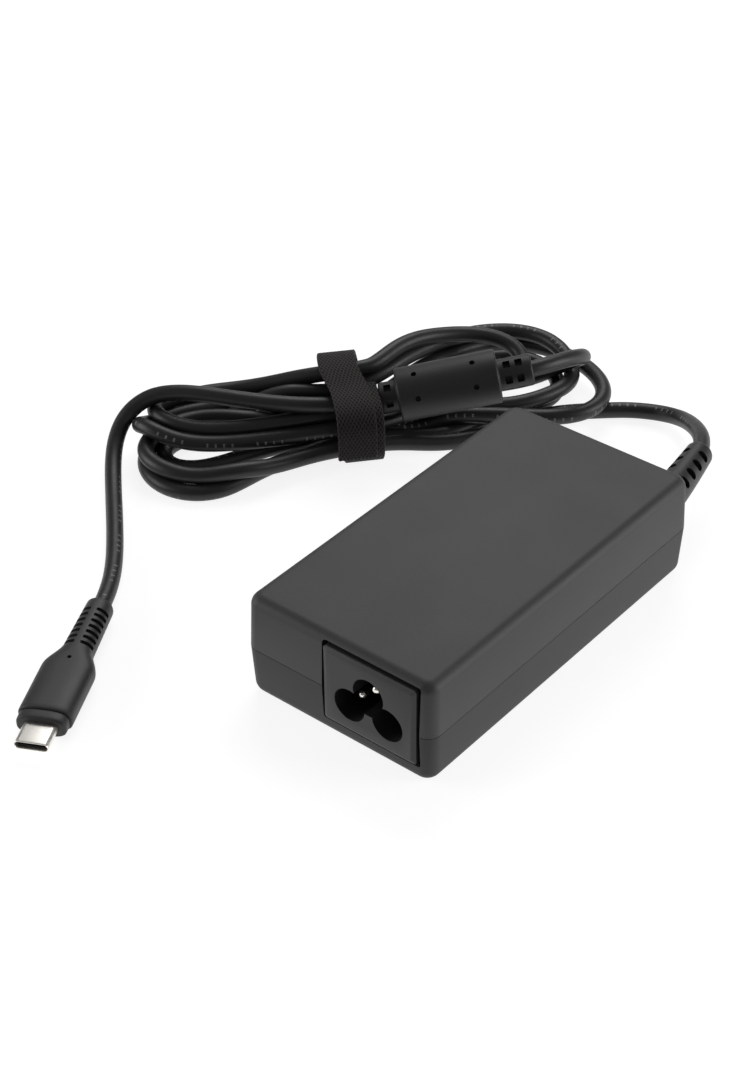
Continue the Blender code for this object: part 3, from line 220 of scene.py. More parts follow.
def add(tree, kind, **values):
    """A node with the given properties; other names are inputs, set to a value or linked."""
    node = tree.nodes.new(kind)
    for key, value in values.items():
        if hasattr(node, key):
            setattr(node, key, value)
        else:
            connect(tree, value, node.inputs[key.replace("_", " ")])
    return node


def maths(tree, operation, *values):
    node = add(tree, "ShaderNodeMath", operation=operation)
    for socket, value in zip(node.inputs, values):
        connect(tree, value, socket)
    return node.outputs[0]


def object_place(tree):
    return tree.nodes.new("ShaderNodeTexCoord").outputs["Object"]


def axes_of(tree, vector):
    """The separate coordinates of a vector."""
    split = tree.nodes.new("ShaderNodeSeparateXYZ")
    tree.links.new(vector, split.inputs[0])
    return split.outputs


def noise(tree, scale, detail=2.0, roughness=0.5, vector=None):
    if vector is None:
        vector = object_place(tree)
    return add(tree, "ShaderNodeTexNoise", Scale=scale, Detail=detail, Roughness=roughness,
               Vector=vector).outputs["Fac"]


def ramp(tree, value, low, high, out_low=0.0, out_high=1.0):
    return add(tree, "ShaderNodeMapRange", Value=value, From_Min=low, From_Max=high, To_Min=out_low,
               To_Max=out_high).outputs["Result"]


def colour_mix(tree, factor, first, second):
    node = add(tree, "ShaderNodeMix", data_type='RGBA')
    for place, value in ((0, factor), (6, first), (7, second)):
        connect(tree, (*value, 1.0) if isinstance(value, tuple) else value, node.inputs[place])
    return node.outputs[2]


def surface(tree, shader, relief, depth, **values):
    """Give the shader its inputs, and the relief as bumps of a depth."""
    bump = add(tree, "ShaderNodeBump", Strength=1.0, Distance=depth, Height=relief)
    connect(tree, bump.outputs["Normal"], shader.inputs["Normal"])
    for key, value in values.items():
        connect(tree, value, shader.inputs[key.replace("_", " ")])


def shades(rgb, spread):
    """A darker and a lighter tone of a colour."""
    return (tuple(c * (1 - spread) for c in rgb), tuple(min(1.0, c * (1 + spread)) for c in rgb))


def moulded(name, rgb, roughness, grain=2600.0, depth=0.02 * MM, spread=0.12):
    """A moulded or coated surface: fine grain in the relief, slow drifts in tone and gloss."""
    made, tree, shader = nodes_of(name)
    fine = noise(tree, grain, 3.0, 0.6)
    slow = noise(tree, 55.0)
    tone = maths(tree, 'ADD', maths(tree, 'MULTIPLY', fine, 0.55), maths(tree, 'MULTIPLY', slow, 0.45))
    surface(tree, shader, fine, depth,
            Base_Color=colour_mix(tree, ramp(tree, tone, 0.35, 0.65), *shades(rgb, spread)),
            Roughness=ramp(tree, tone, 0.3, 0.7, roughness - 0.05, roughness + 0.06))
    return made


def brushed(name, rgb, roughness, along=(1, 1, 0.04)):
    """Metal with fine lines drawn along one direction."""
    made, tree, shader = nodes_of(name)
    mapping = add(tree, "ShaderNodeMapping", Scale=along, Vector=object_place(tree))
    lines = noise(tree, 2500.0, 2.0, 0.6, mapping.outputs["Vector"])
    surface(tree, shader, lines, 0.004 * MM, Metallic=1.0,
            Base_Color=colour_mix(tree, noise(tree, 260.0), *shades(rgb, 0.08)),
            Roughness=ramp(tree, lines, 0.2, 0.8, roughness * 0.8, roughness * 1.3))
    return made


def striped(name, rgb, roughness, pitch, depth=0.12 * MM, metallic=0.0):
    """Turns of wire or tape lying side by side along Z, with painted shade in the grooves between them and
    painted highlight on their crowns.
    """
    made, tree, shader = nodes_of(name)
    phase = maths(tree, 'MULTIPLY', axes_of(tree, object_place(tree))[2], 2 * math.pi / pitch)
    turns = ramp(tree, maths(tree, 'SINE', phase), -1.0, 1.0)
    # The colour follows the turns: painted shade in the grooves, painted highlight on the crowns.
    surface(tree, shader, turns, depth, Metallic=metallic,
            Base_Color=colour_mix(tree, turns, *shades(rgb, 0.35)),
            Roughness=ramp(tree, noise(tree, 900.0), 0.3, 0.7, roughness - 0.06, roughness + 0.06))
    return made


CORD_BLACK = (0.014, 0.014, 0.0142)
MARK_GREY = (0.20, 0.21, 0.22)
MARK_PITCH = 13.0 * MM            # from one group of printed ticks to the next
MARK_TICKS = 6.0                  # to a pitch, of which the last two are left blank
MARK_GROUP = 0.66                 # share of a pitch that the group takes up
MARK_LENGTH = 0.24                # share of a tick's room that is printed
MARK_HALF_WIDTH = 0.036           # share of the cord's girth
PRINT_LAY = 400 * MM              # the printed line goes once round the cord in this length


def cord_jacket():
    """Satin extruded jacket with plain printed ticks in groups along one side."""
    made, tree, shader = nodes_of("cord_jacket")
    axes = axes_of(tree, add(tree, "ShaderNodeUVMap", uv_map="cord").outputs[0])
    aside = maths(tree, 'ABSOLUTE', maths(tree, 'SUBTRACT', axes[0], 0.5))
    group = maths(tree, 'FRACT', maths(tree, 'DIVIDE', axes[1], MARK_PITCH))
    tick = maths(tree, 'FRACT', maths(tree, 'MULTIPLY', group, MARK_TICKS))
    shown = maths(tree, 'MULTIPLY', maths(tree, 'LESS_THAN', group, MARK_GROUP),
                  maths(tree, 'LESS_THAN', tick, MARK_LENGTH))
    printed = maths(tree, 'MULTIPLY', maths(tree, 'LESS_THAN', aside, MARK_HALF_WIDTH), shown)
    worn = ramp(tree, noise(tree, 2200.0), 0.3, 0.55, 0.25, 1.0)
    jacket = colour_mix(tree, noise(tree, 70.0), *shades(CORD_BLACK, 0.2))
    fine = noise(tree, 1500.0, 3.0, 0.6)
    surface(tree, shader, fine, 0.012 * MM,
            Base_Color=colour_mix(tree, maths(tree, 'MULTIPLY', printed, worn), jacket, MARK_GREY),
            Roughness=ramp(tree, fine, 0.3, 0.7, 0.40, 0.50))
    return made


THREAD_ACROSS = 1.0 * MM
THREAD_ALONG = 1.7 * MM
# Painted shade: the near-black between the threads.
STRAP_GAP_SHADE = (0.003, 0.0028, 0.0026)
STRAP_BROWN = (0.050, 0.040, 0.036)
STRAP_GREY = (0.046, 0.044, 0.042)


def strap_weave():
    """Black-brown tape: the relief is in the mesh, and the colour paints its light and shade on top:
    near-black painted shade in the gaps, painted highlight on the thread crowns.
    """
    made, tree, shader = nodes_of("strap_weave")
    axes = axes_of(tree, add(tree, "ShaderNodeUVMap", uv_map="tape").outputs[0])
    waves = []
    for sign in (1.0, -1.0):
        phase = maths(tree, 'ADD', maths(tree, 'MULTIPLY', axes[0], 2 * math.pi / THREAD_ACROSS),
                      maths(tree, 'MULTIPLY', axes[1], sign * 2 * math.pi / THREAD_ALONG))
        waves.append(ramp(tree, maths(tree, 'COSINE', phase), -1.0, 1.0))
    thread = maths(tree, 'MAXIMUM', *waves)
    fluff = noise(tree, 3200.0, 3.0, 0.7)
    # lit: painted highlight on the thread crowns; elsewhere the colour is the painted shade of the gaps.
    lit = maths(tree, 'MULTIPLY', maths(tree, 'POWER', thread, 5.0), ramp(tree, fluff, 0.3, 0.7, 0.5, 1.2))
    tone = colour_mix(tree, noise(tree, 500.0, 1.0), STRAP_BROWN, STRAP_GREY)
    surface(tree, shader, maths(tree, 'ADD', thread, maths(tree, 'MULTIPLY', fluff, 0.5)), 0.09 * MM,
            Base_Color=colour_mix(tree, lit, STRAP_GAP_SHADE, tone), Roughness=0.6, Specular_IOR_Level=0.22,
            Sheen_Weight=0.03, Sheen_Roughness=0.45)
    return made


CASE_GREY = (0.045, 0.045, 0.0445)
INLET_BLACK = (0.030, 0.030, 0.030)
COVER_GREY = (0.040, 0.040, 0.040)
SLEEVE_GREY = (0.014, 0.014, 0.014)
NICKEL = (0.90, 0.87, 0.82)

MATERIALS = {
    "case": moulded("case_plastic", CASE_GREY, 0.56, 3000.0, 0.03 * MM, 0.16),
    "inlet": moulded("inlet_plastic", INLET_BLACK, 0.5, 2400.0, 0.015 * MM),
    "cover": moulded("moulded_cover", COVER_GREY, 0.5, 2200.0, 0.015 * MM),
    "sleeve": moulded("ferrite_sleeve", SLEEVE_GREY, 0.54, 2200.0, 0.015 * MM),
    # Near-black for the faces inside the socket's mouth: painted shade.
    "socket": moulded("socket_painted_shade", (0.004, 0.004, 0.004), 0.6),
    "gland": moulded("gland_rubber", (0.023, 0.023, 0.023), 0.46, 1800.0, 0.012 * MM),
    "cord": cord_jacket(),
    "strap": strap_weave(),
    "shell": brushed("shell_nickel", NICKEL, 0.34),
    "pin": brushed("pin_nickel", NICKEL, 0.2, (1, 0.04, 1)),
    "tongue": moulded("contact_tongue", (0.014, 0.014, 0.015), 0.45),
    "contact": brushed("contact_gold", (0.85, 0.62, 0.28), 0.25),
}

# Finishes of the frame's own nodes inside the case, by slot name in the record.
INSIDE = {
    "circuit_laminate": moulded("circuit_laminate", (0.02, 0.16, 0.05), 0.38, 700.0, 0.03 * MM, 0.25),
    "fuse_body": moulded("fuse_body", (0.30, 0.05, 0.03), 0.3, 900.0, 0.01 * MM),
    "capacitor_film": moulded("capacitor_film", (0.55, 0.42, 0.05), 0.32, 900.0, 0.01 * MM),
    "ceramic_disc": moulded("ceramic_disc", (0.05, 0.15, 0.45), 0.3, 1100.0, 0.05 * MM),
    "ferrite": moulded("ferrite", (0.10, 0.10, 0.105), 0.62, 1900.0, 0.04 * MM, 0.3),
    "copper_winding": striped("copper_winding", (0.72, 0.38, 0.20), 0.3, 0.9 * MM, metallic=1.0),
    "winding_tape": striped("winding_tape", (0.60, 0.45, 0.05), 0.3, 3.4 * MM, 0.05 * MM),
    "moulding_black": moulded("moulding_black", (0.02, 0.02, 0.02), 0.42, 2000.0, 0.02 * MM),
    "capacitor_can": moulded("capacitor_can", (0.03, 0.05, 0.16), 0.28, 500.0, 0.01 * MM),
    "aluminium_plate": brushed("aluminium_plate", (0.72, 0.73, 0.74), 0.38, (0.05, 1, 1)),
    "insulating_film": moulded("insulating_film", (0.75, 0.72, 0.60), 0.4, 400.0, 0.02 * MM),
    "wire_insulation_red": moulded("wire_insulation_red", (0.5, 0.02, 0.02), 0.35, 800.0),
    "wire_insulation_black": moulded("wire_insulation_black", (0.02, 0.02, 0.02), 0.35, 800.0),
}


# ---------------------------------------------------------------- mesh helpers

def put(name, mesh, finish=None, angle=35.0):
    """Link a mesh as a smooth-shaded piece with one finish."""
    mesh.shade_smooth()
    mesh.set_sharp_from_angle(angle=math.radians(angle))
    made = bpy.data.objects.new(name, mesh)
    SCENE.collection.objects.link(made)
    if finish:
        mesh.materials.append(MATERIALS[finish])
    return made


def mesh_from(bm, name):
    bmesh.ops.recalc_face_normals(bm, faces=bm.faces)
    mesh = bpy.data.meshes.new(name)
    bm.to_mesh(mesh)
    bm.free()
    return mesh


def loft(name, rings, finish=None, closed=False):
    """A skin through rings of equal point counts, with flat ends or joined end to end."""
    bm = bmesh.new()
    loops = [[bm.verts.new(point) for point in ring] for ring in rings]
    count = len(loops[0])
    pairs = list(zip(loops, loops[1:]))
    if closed:
        pairs.append((loops[-1], loops[0]))
    else:
        bm.faces.new(loops[0])
        bm.faces.new(loops[-1])
    for first, second in pairs:
        for i in range(count):
            j = (i + 1) % count
            bm.faces.new((first[i], first[j], second[j], second[i]))
    return put(name, mesh_from(bm, name), finish)


def ring_of(placement, radius, count=64):
    angles = [2 * math.pi * k / count for k in range(count)]
    return [placement @ Vector((radius * math.cos(a), radius * math.sin(a), 0.0)) for a in angles]


def turned(name, profile, placement, finish=None, steps=96, closed=True):
    """A profile of (radius, height) points turned about the placement's Z axis."""
    rings = [ring_of(placement @ Matrix.Translation((0, 0, height)), radius, steps)
             for radius, height in profile]
    return loft(name, rings, finish, closed)


def fillet(points, radii, steps=5):
    """A closed profile with its corners rounded, each by its own radius."""
    out = []
    for k, (point, size) in enumerate(zip(points, radii)):
        here = Vector(point)
        before = Vector(points[k - 1]) - here
        after = Vector(points[(k + 1) % len(points)]) - here
        size = min(size, before.length * 0.49, after.length * 0.49)
        if size < 1e-7:
            out.append(tuple(here))
            continue
        start, end = here + before.normalized() * size, here + after.normalized() * size
        for i in range(steps + 1):
            u = i / steps
            out.append(tuple(start * (1 - u) ** 2 + here * 2 * u * (1 - u) + end * u ** 2))
    return out


def rounded_rectangle(half_x, half_y, radius, steps):
    """Points round a rectangle with rounded corners."""
    points = []
    for turn, (side_x, side_y) in enumerate(((1, 1), (-1, 1), (-1, -1), (1, -1))):
        for k in range(steps + 1):
            a = math.pi / 2 * (turn + k / steps)
            points.append((side_x * (half_x - radius) + radius * math.cos(a),
                           side_y * (half_y - radius) + radius * math.sin(a)))
    return points


def bevel(bm, edges, size, segments):
    bmesh.ops.bevel(bm, geom=edges, offset=size, segments=segments, profile=0.5, affect='EDGES')


def edges_along(bm, axis, least):
    """The edges that run along an axis for more than a length."""
    return [edge for edge in bm.edges
            if abs(edge.verts[0].co[axis] - edge.verts[1].co[axis]) > least]


def at_height(parts, height):
    """The edges or faces that lie level at a height."""
    return [part for part in parts if all(abs(vert.co.z - height) < 1e-7 for vert in part.verts)]


def box_mesh(size):
    bm = bmesh.new()
    bmesh.ops.create_cube(bm, size=1.0, matrix=Matrix.Diagonal((*size, 1.0)))
    return bm


def cutter(bm):
    """A finished mesh as a piece for cutting."""
    return put("cutter", mesh_from(bm, "cutter"))


def cutter_box(size, centre, rounding=0.0):
    """A box for cutting, its edges rounded where a size is given."""
    bm = box_mesh(size)
    if rounding:
        bevel(bm, bm.edges[:], rounding, 4)
    bmesh.ops.transform(bm, matrix=Matrix.Translation(centre), verts=bm.verts)
    return cutter(bm)


def cylinder_cutter(radius, length, centre, steps=64):
    """A cylinder for cutting, along Y."""
    placement = frame_at(Vector(centre) - Vector((0, length / 2, 0)), Vector((0, 1, 0)))
    return loft("cutter", [ring_of(placement, radius, steps),
                           ring_of(placement @ Matrix.Translation((0, 0, length)), radius, steps)])


def carve(target, cutters, operation='DIFFERENCE'):
    """Apply the cutters to the target's mesh and throw them away."""
    for cutter in cutters:
        modifier = target.modifiers.new("carve", 'BOOLEAN')
        modifier.operation = operation
        modifier.solver = 'EXACT'
        modifier.object = cutter
    bake(target)
    for cutter in cutters:
        bpy.data.objects.remove(cutter)
    return target


def bake(target, angle=35.0):
    """Turn the target's modifiers into its own mesh."""
    bpy.context.view_layer.update()
    graph = bpy.context.evaluated_depsgraph_get()
    mesh = bpy.data.meshes.new_from_object(target.evaluated_get(graph))
    target.modifiers.clear()
    target.data = mesh
    mesh.shade_smooth()
    mesh.set_sharp_from_angle(angle=math.radians(angle))
    return target


def slot_cutters(placements, inner, outer, width, span, turns=(45, 135, 225, 315), round_share=0.3):
    """Rounded boxes that open slots round a strain relief, from inner to outer radius."""
    bm = bmesh.new()
    for placement in placements:
        for degrees in turns:
            one = box_mesh((outer - inner, span, width))
            bevel(one, edges_along(one, 0, (outer - inner) / 2), width * round_share, 4)
            place = (placement @ Matrix.Rotation(math.radians(degrees), 4, 'Z')
                     @ Matrix.Translation((0.5 * (inner + outer), 0.0, 0.0)))
            bmesh.ops.transform(one, matrix=place, verts=one.verts)
            slot = mesh_from(one, "slot")
            bm.from_mesh(slot)
            bpy.data.meshes.remove(slot)
    return cutter(bm)


def stand_for(piece, slot, *nodes):
    """The piece rides on the root body and replaces CAD nodes; the slot is not used."""
    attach(piece, "root")
    if nodes:
        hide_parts(*nodes)
    return piece


# ---------------------------------------------------------------- the cord's path

# Routes of the uncoiled cord, as in the CAD part.
ROUTE_TO_HANK = [(85.8, 36.9, 13.3), (87.3, 31.5, 11.8), (87.9, 26.0, 10.0), (88.1, 19.8, 7.6),
                 (87.6, 13.6, 5.2), (86.0, 8.2, 3.2), (82.6, 4.8, 2.3), (79.0, 3.9, 2.25),
                 (75.5, 2.9, 2.25)]
ROUTE_TO_FERRITE = [(65.0, -6.9, 14.6), (63.8, -3.4, 17.0), (61.5, -0.2, 19.2), (58.2, 3.2, 21.2),
                    (54.3, 5.9, 22.6)]
ROUTE_TO_PLUG = [(-6.4, 4.8, 15.1), (-14.2, 3.4, 15.6), (-21.5, 1.5, 16.0), (-29.1, -1.2, 16.2),
                 (-36.5, -4.3, 16.4), (-43.0, -6.8, 16.3), (-48.3, -8.9, 15.6),
                 (-52.3, -9.9, 14.6), (-55.7, -9.7, 13.0), (-58.7, -8.2, 10.9),
                 (-61.0, -6.4, 8.4), (-62.7, -3.6, 6.4), (-63.8, 0.2, 4.8), (-64.6, 5.6, 3.5),
                 (-65.2, 11.4, 2.7), (-65.6, 17.0, 2.4), (-66.2, 26.5, 2.3), (-67.0, 37.0, 2.3),
                 (-68.1, 46.5, 2.4), (-69.8, 55.4, 2.9)]
# The first run, which passes under the hank's right loops.
FIRST_RUN = [(70.7, 2.3, 2.2), (60.0, 0.8, 2.2), (50.0, 1.6, 2.2), (38.0, 6.6, 2.2),
             (26.0, 8.7, 2.2), (13.0, 6.2, 3.4)]
# The hank's turns. Each goes through the strap in front, round the left end (front, tip, back),
# through the strap behind and round the right end (back, tip, front).
TURNS = [
    dict(front=(10.2, 5.0), out=[(-14, 11.0, 4.6), (-21, 13.6, 4.5), (-29, 16.6, 4.4)],
         left=((-39, 17.8, 4.4), (-55.8, 2.8, 6.8), (-35, -10.4, 6.2)),
         back=(-7.4, 3.7), rise=[(13, -12.5, 7.6), (24, -21.5, 7.8), (34, -29, 6.5)],
         right=((46, -34.8, 4.8), (70.6, -4.5, 6.6), (60, 8.3, 6.6)),
         home=[(49.5, 7.4, 6.4), (41.0, 5.3, 6.4), (24, 1.6, 4.2)]),
    dict(front=(1.6, 3.7), out=[(-9, 2.4, 4.0), (-19, 3.2, 3.2), (-29.5, 5.2, 3.0)],
         left=((-40, 8.6, 2.6), (-51.0, 0.8, 2.2), (-36, -8.0, 2.2)),
         back=(-2.9, 3.7), right=((45, -27.5, 4.6), (60.4, -11.5, 4.0), (43, -2.5, 2.6)),
         home=[(25, 3.6, 2.2)]),
    dict(front=(6.2, 3.7), out=[(-14, 7.6, 2.2), (-24, 11.0, 2.2), (-30, 15.0, 2.2)],
         left=((-38, 19.7, 2.2), (-56.2, 4.4, 2.2), (-36, -12.5, 2.8)),
         back=(-9.4, 10.4), inward=[(-24, -11.3, 6.7), (-12, -10.0, 9.9)],
         rise=[(12, -14.4, 13.4), (23, -23.0, 12.4), (34, -30, 10.0)],
         right=((46, -34.4, 8.4), (64.2, -17, 8.2), (48, -0.2, 6.8)),
         home=[(30, 0.8, 6.6)]),
    dict(front=(3.2, 12.4), left=((-26, 3.4, 10.2), (-52.5, -10.8, 8.4), (-30, -18.0, 8.2)),
         back=(-11.8, 16.6), rise=[(9, -14.6, 16.9), (20, -21.4, 16.4)],
         right=((36, -26.0, 14.0), (51.4, -14.6, 8.9), (36, -8.5, 8)), home=[(18, -1.0, 7.4)]),
    dict(front=(6.4, 9.0), left=((-30, 6.6, 8.4), (-57.5, -6.0, 7.8), (-34, -13.5, 5.4)),
         back=(-4.8, 8.0), right=((46, -14, 4.6), (65.4, -8.6, 12.2), None)),
]
BEND_STEPS = 3                    # points on each quarter of a bend

DIAMETER = 2 * CORD_RADIUS / MM
STEP = 3.0                        # millimetres between the points that settle
ROUNDS = 300
HOME_PULL = 0.05                  # how strongly a point is drawn to where it began, at first
STIFFNESS = 0.06                  # how strongly a bend is straightened
SINKING = 0.002                   # millimetres that a free point drops in a round
STRETCH = 0.25                    # share of a wrong length that each end makes good
CROWDING = 0.7                    # how far a point that touches several strands holds back
HELD_AT_START = 10
HELD_AT_PLUG = 8
STRAP_CENTRE = (1.2, 9.8)        # t and z of the strap's middle
STRAP_ROOM = (11.8, 6.2)          # half of the room that the strands' centres have in it
STRAP_POWER = 3.2
STRAP_BULGE = 2.8                 # extra room at the rear top
STRAP_BULGE_ANGLE = math.radians(140)
STRAP_REACH = 7.5                 # half of the length of hank that the strap holds


def quarter(start, tip, steps):
    """Points of a quarter ellipse that leaves start along the hank and ends at the tip."""
    points = [start]
    for k in range(1, steps):
        a = math.pi / 2 * k / steps
        points.append((start[0] + (tip[0] - start[0]) * math.sin(a),
                       tip[1] + (start[1] - tip[1]) * math.cos(a),
                       tip[2] + (start[2] - tip[2]) * math.cos(a)))
    return points


def bend(first, tip, last):
    return quarter(first, tip, BEND_STEPS) + [tip] + quarter(last, tip, BEND_STEPS)[::-1]


def control_points():
    """The whole route from the gland to the plug, in the hank's millimetres."""
    points = [in_hank(gland_point(d * MM)) for d in (-4.0, 0.0, 9.0, 18.0, 27.0)]
    points += ROUTE_TO_HANK + FIRST_RUN
    relief_end = (FERRITE_LENGTH + FERRITE_RIGHT_RELIEF) / MM
    for turn in TURNS:
        points += [(0, *turn["front"])] + turn.get("out", []) + bend(*turn["left"])
        points += turn.get("inward", []) + [(0, *turn["back"])] + turn.get("rise", [])
        back, tip, front = turn["right"]
        if front:
            points += bend(back, tip, front) + turn["home"]
        else:
            points += quarter(back, tip, BEND_STEPS) + [tip] + ROUTE_TO_FERRITE
            points += [ferrite_point(relief_end)]
    length = FERRITE_LENGTH / MM
    points += [ferrite_point(d) for d in (length * 0.66, length * 0.33, -FERRITE_LEFT_RELIEF / MM)]
    points += ROUTE_TO_PLUG
    points += [in_hank(PLUG_START + PLUG_DIRECTION * d * MM) for d in (0.0, 7.0, 14.0, 23.4)]
    return np.array(points, float)


def smooth_line(points, pieces=16):
    """A centripetal Catmull-Rom curve through the points."""
    ends = np.vstack([2 * points[0] - points[1], points, 2 * points[-1] - points[-2]])
    line = [points[0]]
    for a, b, c, d in zip(ends, ends[1:], ends[2:], ends[3:]):
        t0 = 0.0
        t1 = t0 + np.linalg.norm(b - a) ** 0.5
        t2 = t1 + np.linalg.norm(c - b) ** 0.5
        t3 = t2 + np.linalg.norm(d - c) ** 0.5
        for u in np.linspace(t1, t2, pieces + 1)[1:]:
            ab = (t1 - u) / (t1 - t0) * a + (u - t0) / (t1 - t0) * b
            bc = (t2 - u) / (t2 - t1) * b + (u - t1) / (t2 - t1) * c
            cd = (t3 - u) / (t3 - t2) * c + (u - t2) / (t3 - t2) * d
            abc = (t2 - u) / (t2 - t0) * ab + (u - t0) / (t2 - t0) * bc
            bcd = (t3 - u) / (t3 - t1) * bc + (u - t1) / (t3 - t1) * cd
            line.append((t2 - u) / (t2 - t1) * abc + (u - t1) / (t2 - t1) * bcd)
    return np.array(line)


def evenly(line, spacing):
    run = np.r_[0, np.cumsum(np.linalg.norm(np.diff(line, axis=0), axis=1))]
    places = np.linspace(0, run[-1], int(round(run[-1] / spacing)) + 1)
    return np.stack([np.interp(places, run, line[:, k]) for k in range(3)], 1)


def keep_in_strap(line, held):
    """Bring strands that leave the strap's room back to its edge."""
    inside = (np.abs(line[:, 0]) < STRAP_REACH) & ~held
    t, z = line[inside, 1] - STRAP_CENTRE[0], line[inside, 2] - STRAP_CENTRE[1]
    bulge = STRAP_BULGE * np.clip(np.cos(np.arctan2(z, t) - STRAP_BULGE_ANGLE), 0, 1) ** 3
    reach = (np.abs(t / (STRAP_ROOM[0] + bulge)) ** STRAP_POWER
             + np.abs(z / (STRAP_ROOM[1] + bulge)) ** STRAP_POWER) ** (1 / STRAP_POWER)
    scale = 1 / np.maximum(reach, 1.0)
    line[inside, 1] = STRAP_CENTRE[0] + t * scale
    line[inside, 2] = STRAP_CENTRE[1] + z * scale


def settle(line):
    """Relax the rope: it keeps its length, resists bending and doesn't pass through itself."""
    start, count = line.copy(), len(line)
    spacing = np.linalg.norm(np.diff(line, axis=0), axis=1).mean()
    low = np.array(ferrite_point(-FERRITE_LEFT_RELIEF / MM))
    high = np.array(ferrite_point((FERRITE_LENGTH + FERRITE_RIGHT_RELIEF) / MM))
    reach = np.linalg.norm(high - low)
    axis = (high - low) / reach

    def about_ferrite(points):
        run = (points - low) @ axis
        off = points - low - run[:, None] * axis
        return run, off, np.linalg.norm(off, axis=1)

    run, off, distance = about_ferrite(line)
    held = (run > -1) & (run < reach + 1) & (distance < 1)
    held[:HELD_AT_START] = True
    held[-HELD_AT_PLUG:] = True
    free = ~held[:, None]
    rows, columns = np.triu_indices(count, 5)
    body = (FERRITE_LEFT_RELIEF / MM, (FERRITE_LEFT_RELIEF + FERRITE_LENGTH) / MM)
    radius = DIAMETER / 2
    for turn in range(ROUNDS):
        if turn % 10 == 0:
            near = np.linalg.norm(line[rows] - line[columns], axis=1) < DIAMETER + 3
            a, b = rows[near], columns[near]
        line = line + free * HOME_PULL * (1 - turn / ROUNDS) * (start - line)
        curve = np.zeros_like(line)
        curve[1:-1] = line[:-2] - 2 * line[1:-1] + line[2:]
        change = np.zeros_like(line)
        change[1:-1] = curve[:-2] - 2 * curve[1:-1] + curve[2:]
        line = line - free * STIFFNESS * change
        line[:, 2] -= np.where(held, 0, SINKING)
        for _ in range(2):
            gap = line[1:] - line[:-1]
            length = np.linalg.norm(gap, axis=1, keepdims=True)
            pull = STRETCH * (length - spacing) / length * gap
            move = np.zeros_like(line)
            move[:-1] += pull
            move[1:] -= pull
            line = line + free * move
            gap = line[a] - line[b]
            length = np.maximum(np.linalg.norm(gap, axis=1), 1e-6)
            close = length < DIAMETER
            push = (0.5 * (DIAMETER - length) / length)[close, None] * gap[close]
            move, hits = np.zeros_like(line), np.zeros(count)
            for index, sign in ((a[close], 1), (b[close], -1)):
                np.add.at(move, index, sign * push)
                np.add.at(hits, index, 1)
            line = line + free * move / np.maximum(hits, 1)[:, None] ** CROWDING
            run, off, distance = about_ferrite(line)
            for first, last, size in ((body[0], body[1], FERRITE_RADIUS / MM),
                                      (0.0, reach, FERRITE_RELIEF_RADIUS / MM)):
                hit = (~held & (run > first - radius) & (run < last + radius)
                       & (distance < size + radius))
                hit &= ~(((run < 2) | (run > reach - 2)) & (distance < radius))
                line[hit] += (off[hit] / np.maximum(distance[hit], 1e-6)[:, None]
                              * (size + radius - distance[hit])[:, None])
                run, off, distance = about_ferrite(line)
            keep_in_strap(line, held)
            line[:, 2] = np.where(held, line[:, 2], np.maximum(line[:, 2], radius))
    return line


def cord_path():
    """Ring centres of the settled cord, in metres in the row frame, as an array."""
    line = settle(evenly(smooth_line(control_points()), STEP))
    fine = evenly(smooth_line(line, 6), PATH_STEP)
    axes = np.array([HANK_DIRECTION, HANK_ACROSS, (0, 0, 1)])
    return np.array(HANK_ORIGIN) + fine @ axes * MM


PATH_STEP = 0.9                   # millimetres between rings of the cord's mesh
CORD_SIDES = 24


def carried_frames(path):
    """Two directions across the path at each point, carried along it without twist."""
    tangents = np.gradient(path, axis=0)
    tangents /= np.linalg.norm(tangents, axis=1, keepdims=True)
    side = np.cross(tangents[0], (0, 0, 1))
    sides = []
    for tangent in tangents:
        side = side - tangent * side.dot(tangent)
        side = side / np.linalg.norm(side)
        sides.append(side)
    sides = np.array(sides)
    return sides, np.cross(tangents, sides)


def build_cord(path, camera_place):
    """A tube along the path with UVs: share of the girth, and metres along it."""
    sides, ups = carried_frames(path)
    # The printed side faces the viewer near one place on the hank.
    marked = np.argmin(np.linalg.norm(path - np.array(hank_point(*PRINT_PLACE)), axis=1))
    toward = np.array(camera_place) - path[marked]
    turn = math.atan2(toward.dot(ups[marked]), toward.dot(sides[marked])) + PRINT_TURN
    run = np.r_[0, np.cumsum(np.linalg.norm(np.diff(path, axis=0), axis=1))]
    lay = 2 * math.pi * (run - run[marked]) / PRINT_LAY
    angles = turn + lay[:, None] + 2 * math.pi * (np.arange(CORD_SIDES) / CORD_SIDES - 0.5)[None]
    rings = path[:, None] + CORD_RADIUS * (np.cos(angles)[..., None] * sides[:, None]
                                           + np.sin(angles)[..., None] * ups[:, None])
    count = len(path)
    verts = rings.reshape(-1, 3)
    i, j = np.meshgrid(np.arange(count - 1), np.arange(CORD_SIDES), indexing="ij")
    k = (j + 1) % CORD_SIDES
    quads = np.stack([i * CORD_SIDES + j, i * CORD_SIDES + k, (i + 1) * CORD_SIDES + k,
                      (i + 1) * CORD_SIDES + j], -1).reshape(-1, 4)
    faces = quads.tolist()
    faces += [list(range(CORD_SIDES))[::-1], [(count - 1) * CORD_SIDES + n for n in range(CORD_SIDES)]]
    mesh = bpy.data.meshes.new("output_cord")
    mesh.from_pydata(verts.tolist(), [], faces)
    layer = mesh.uv_layers.new(name="cord")
    around = np.stack([j, j + 1, j + 1, j], -1) / CORD_SIDES
    along = np.stack([run[i], run[i], run[i + 1], run[i + 1]], -1)
    uv = np.stack([around, along], -1).reshape(-1, 2)
    uv = np.vstack([uv, np.zeros((2 * CORD_SIDES, 2))])
    layer.data.foreach_set("uv", uv.ravel())
    mesh.update()
    return put("output_cord", mesh, "cord", angle=60)


PRINT_PLACE = (-40.0, 6.0, 8.0)   # s, t and z in the hank's millimetres
PRINT_TURN = -0.25                # radians away from straight at the viewer


# ---------------------------------------------------------------- strap

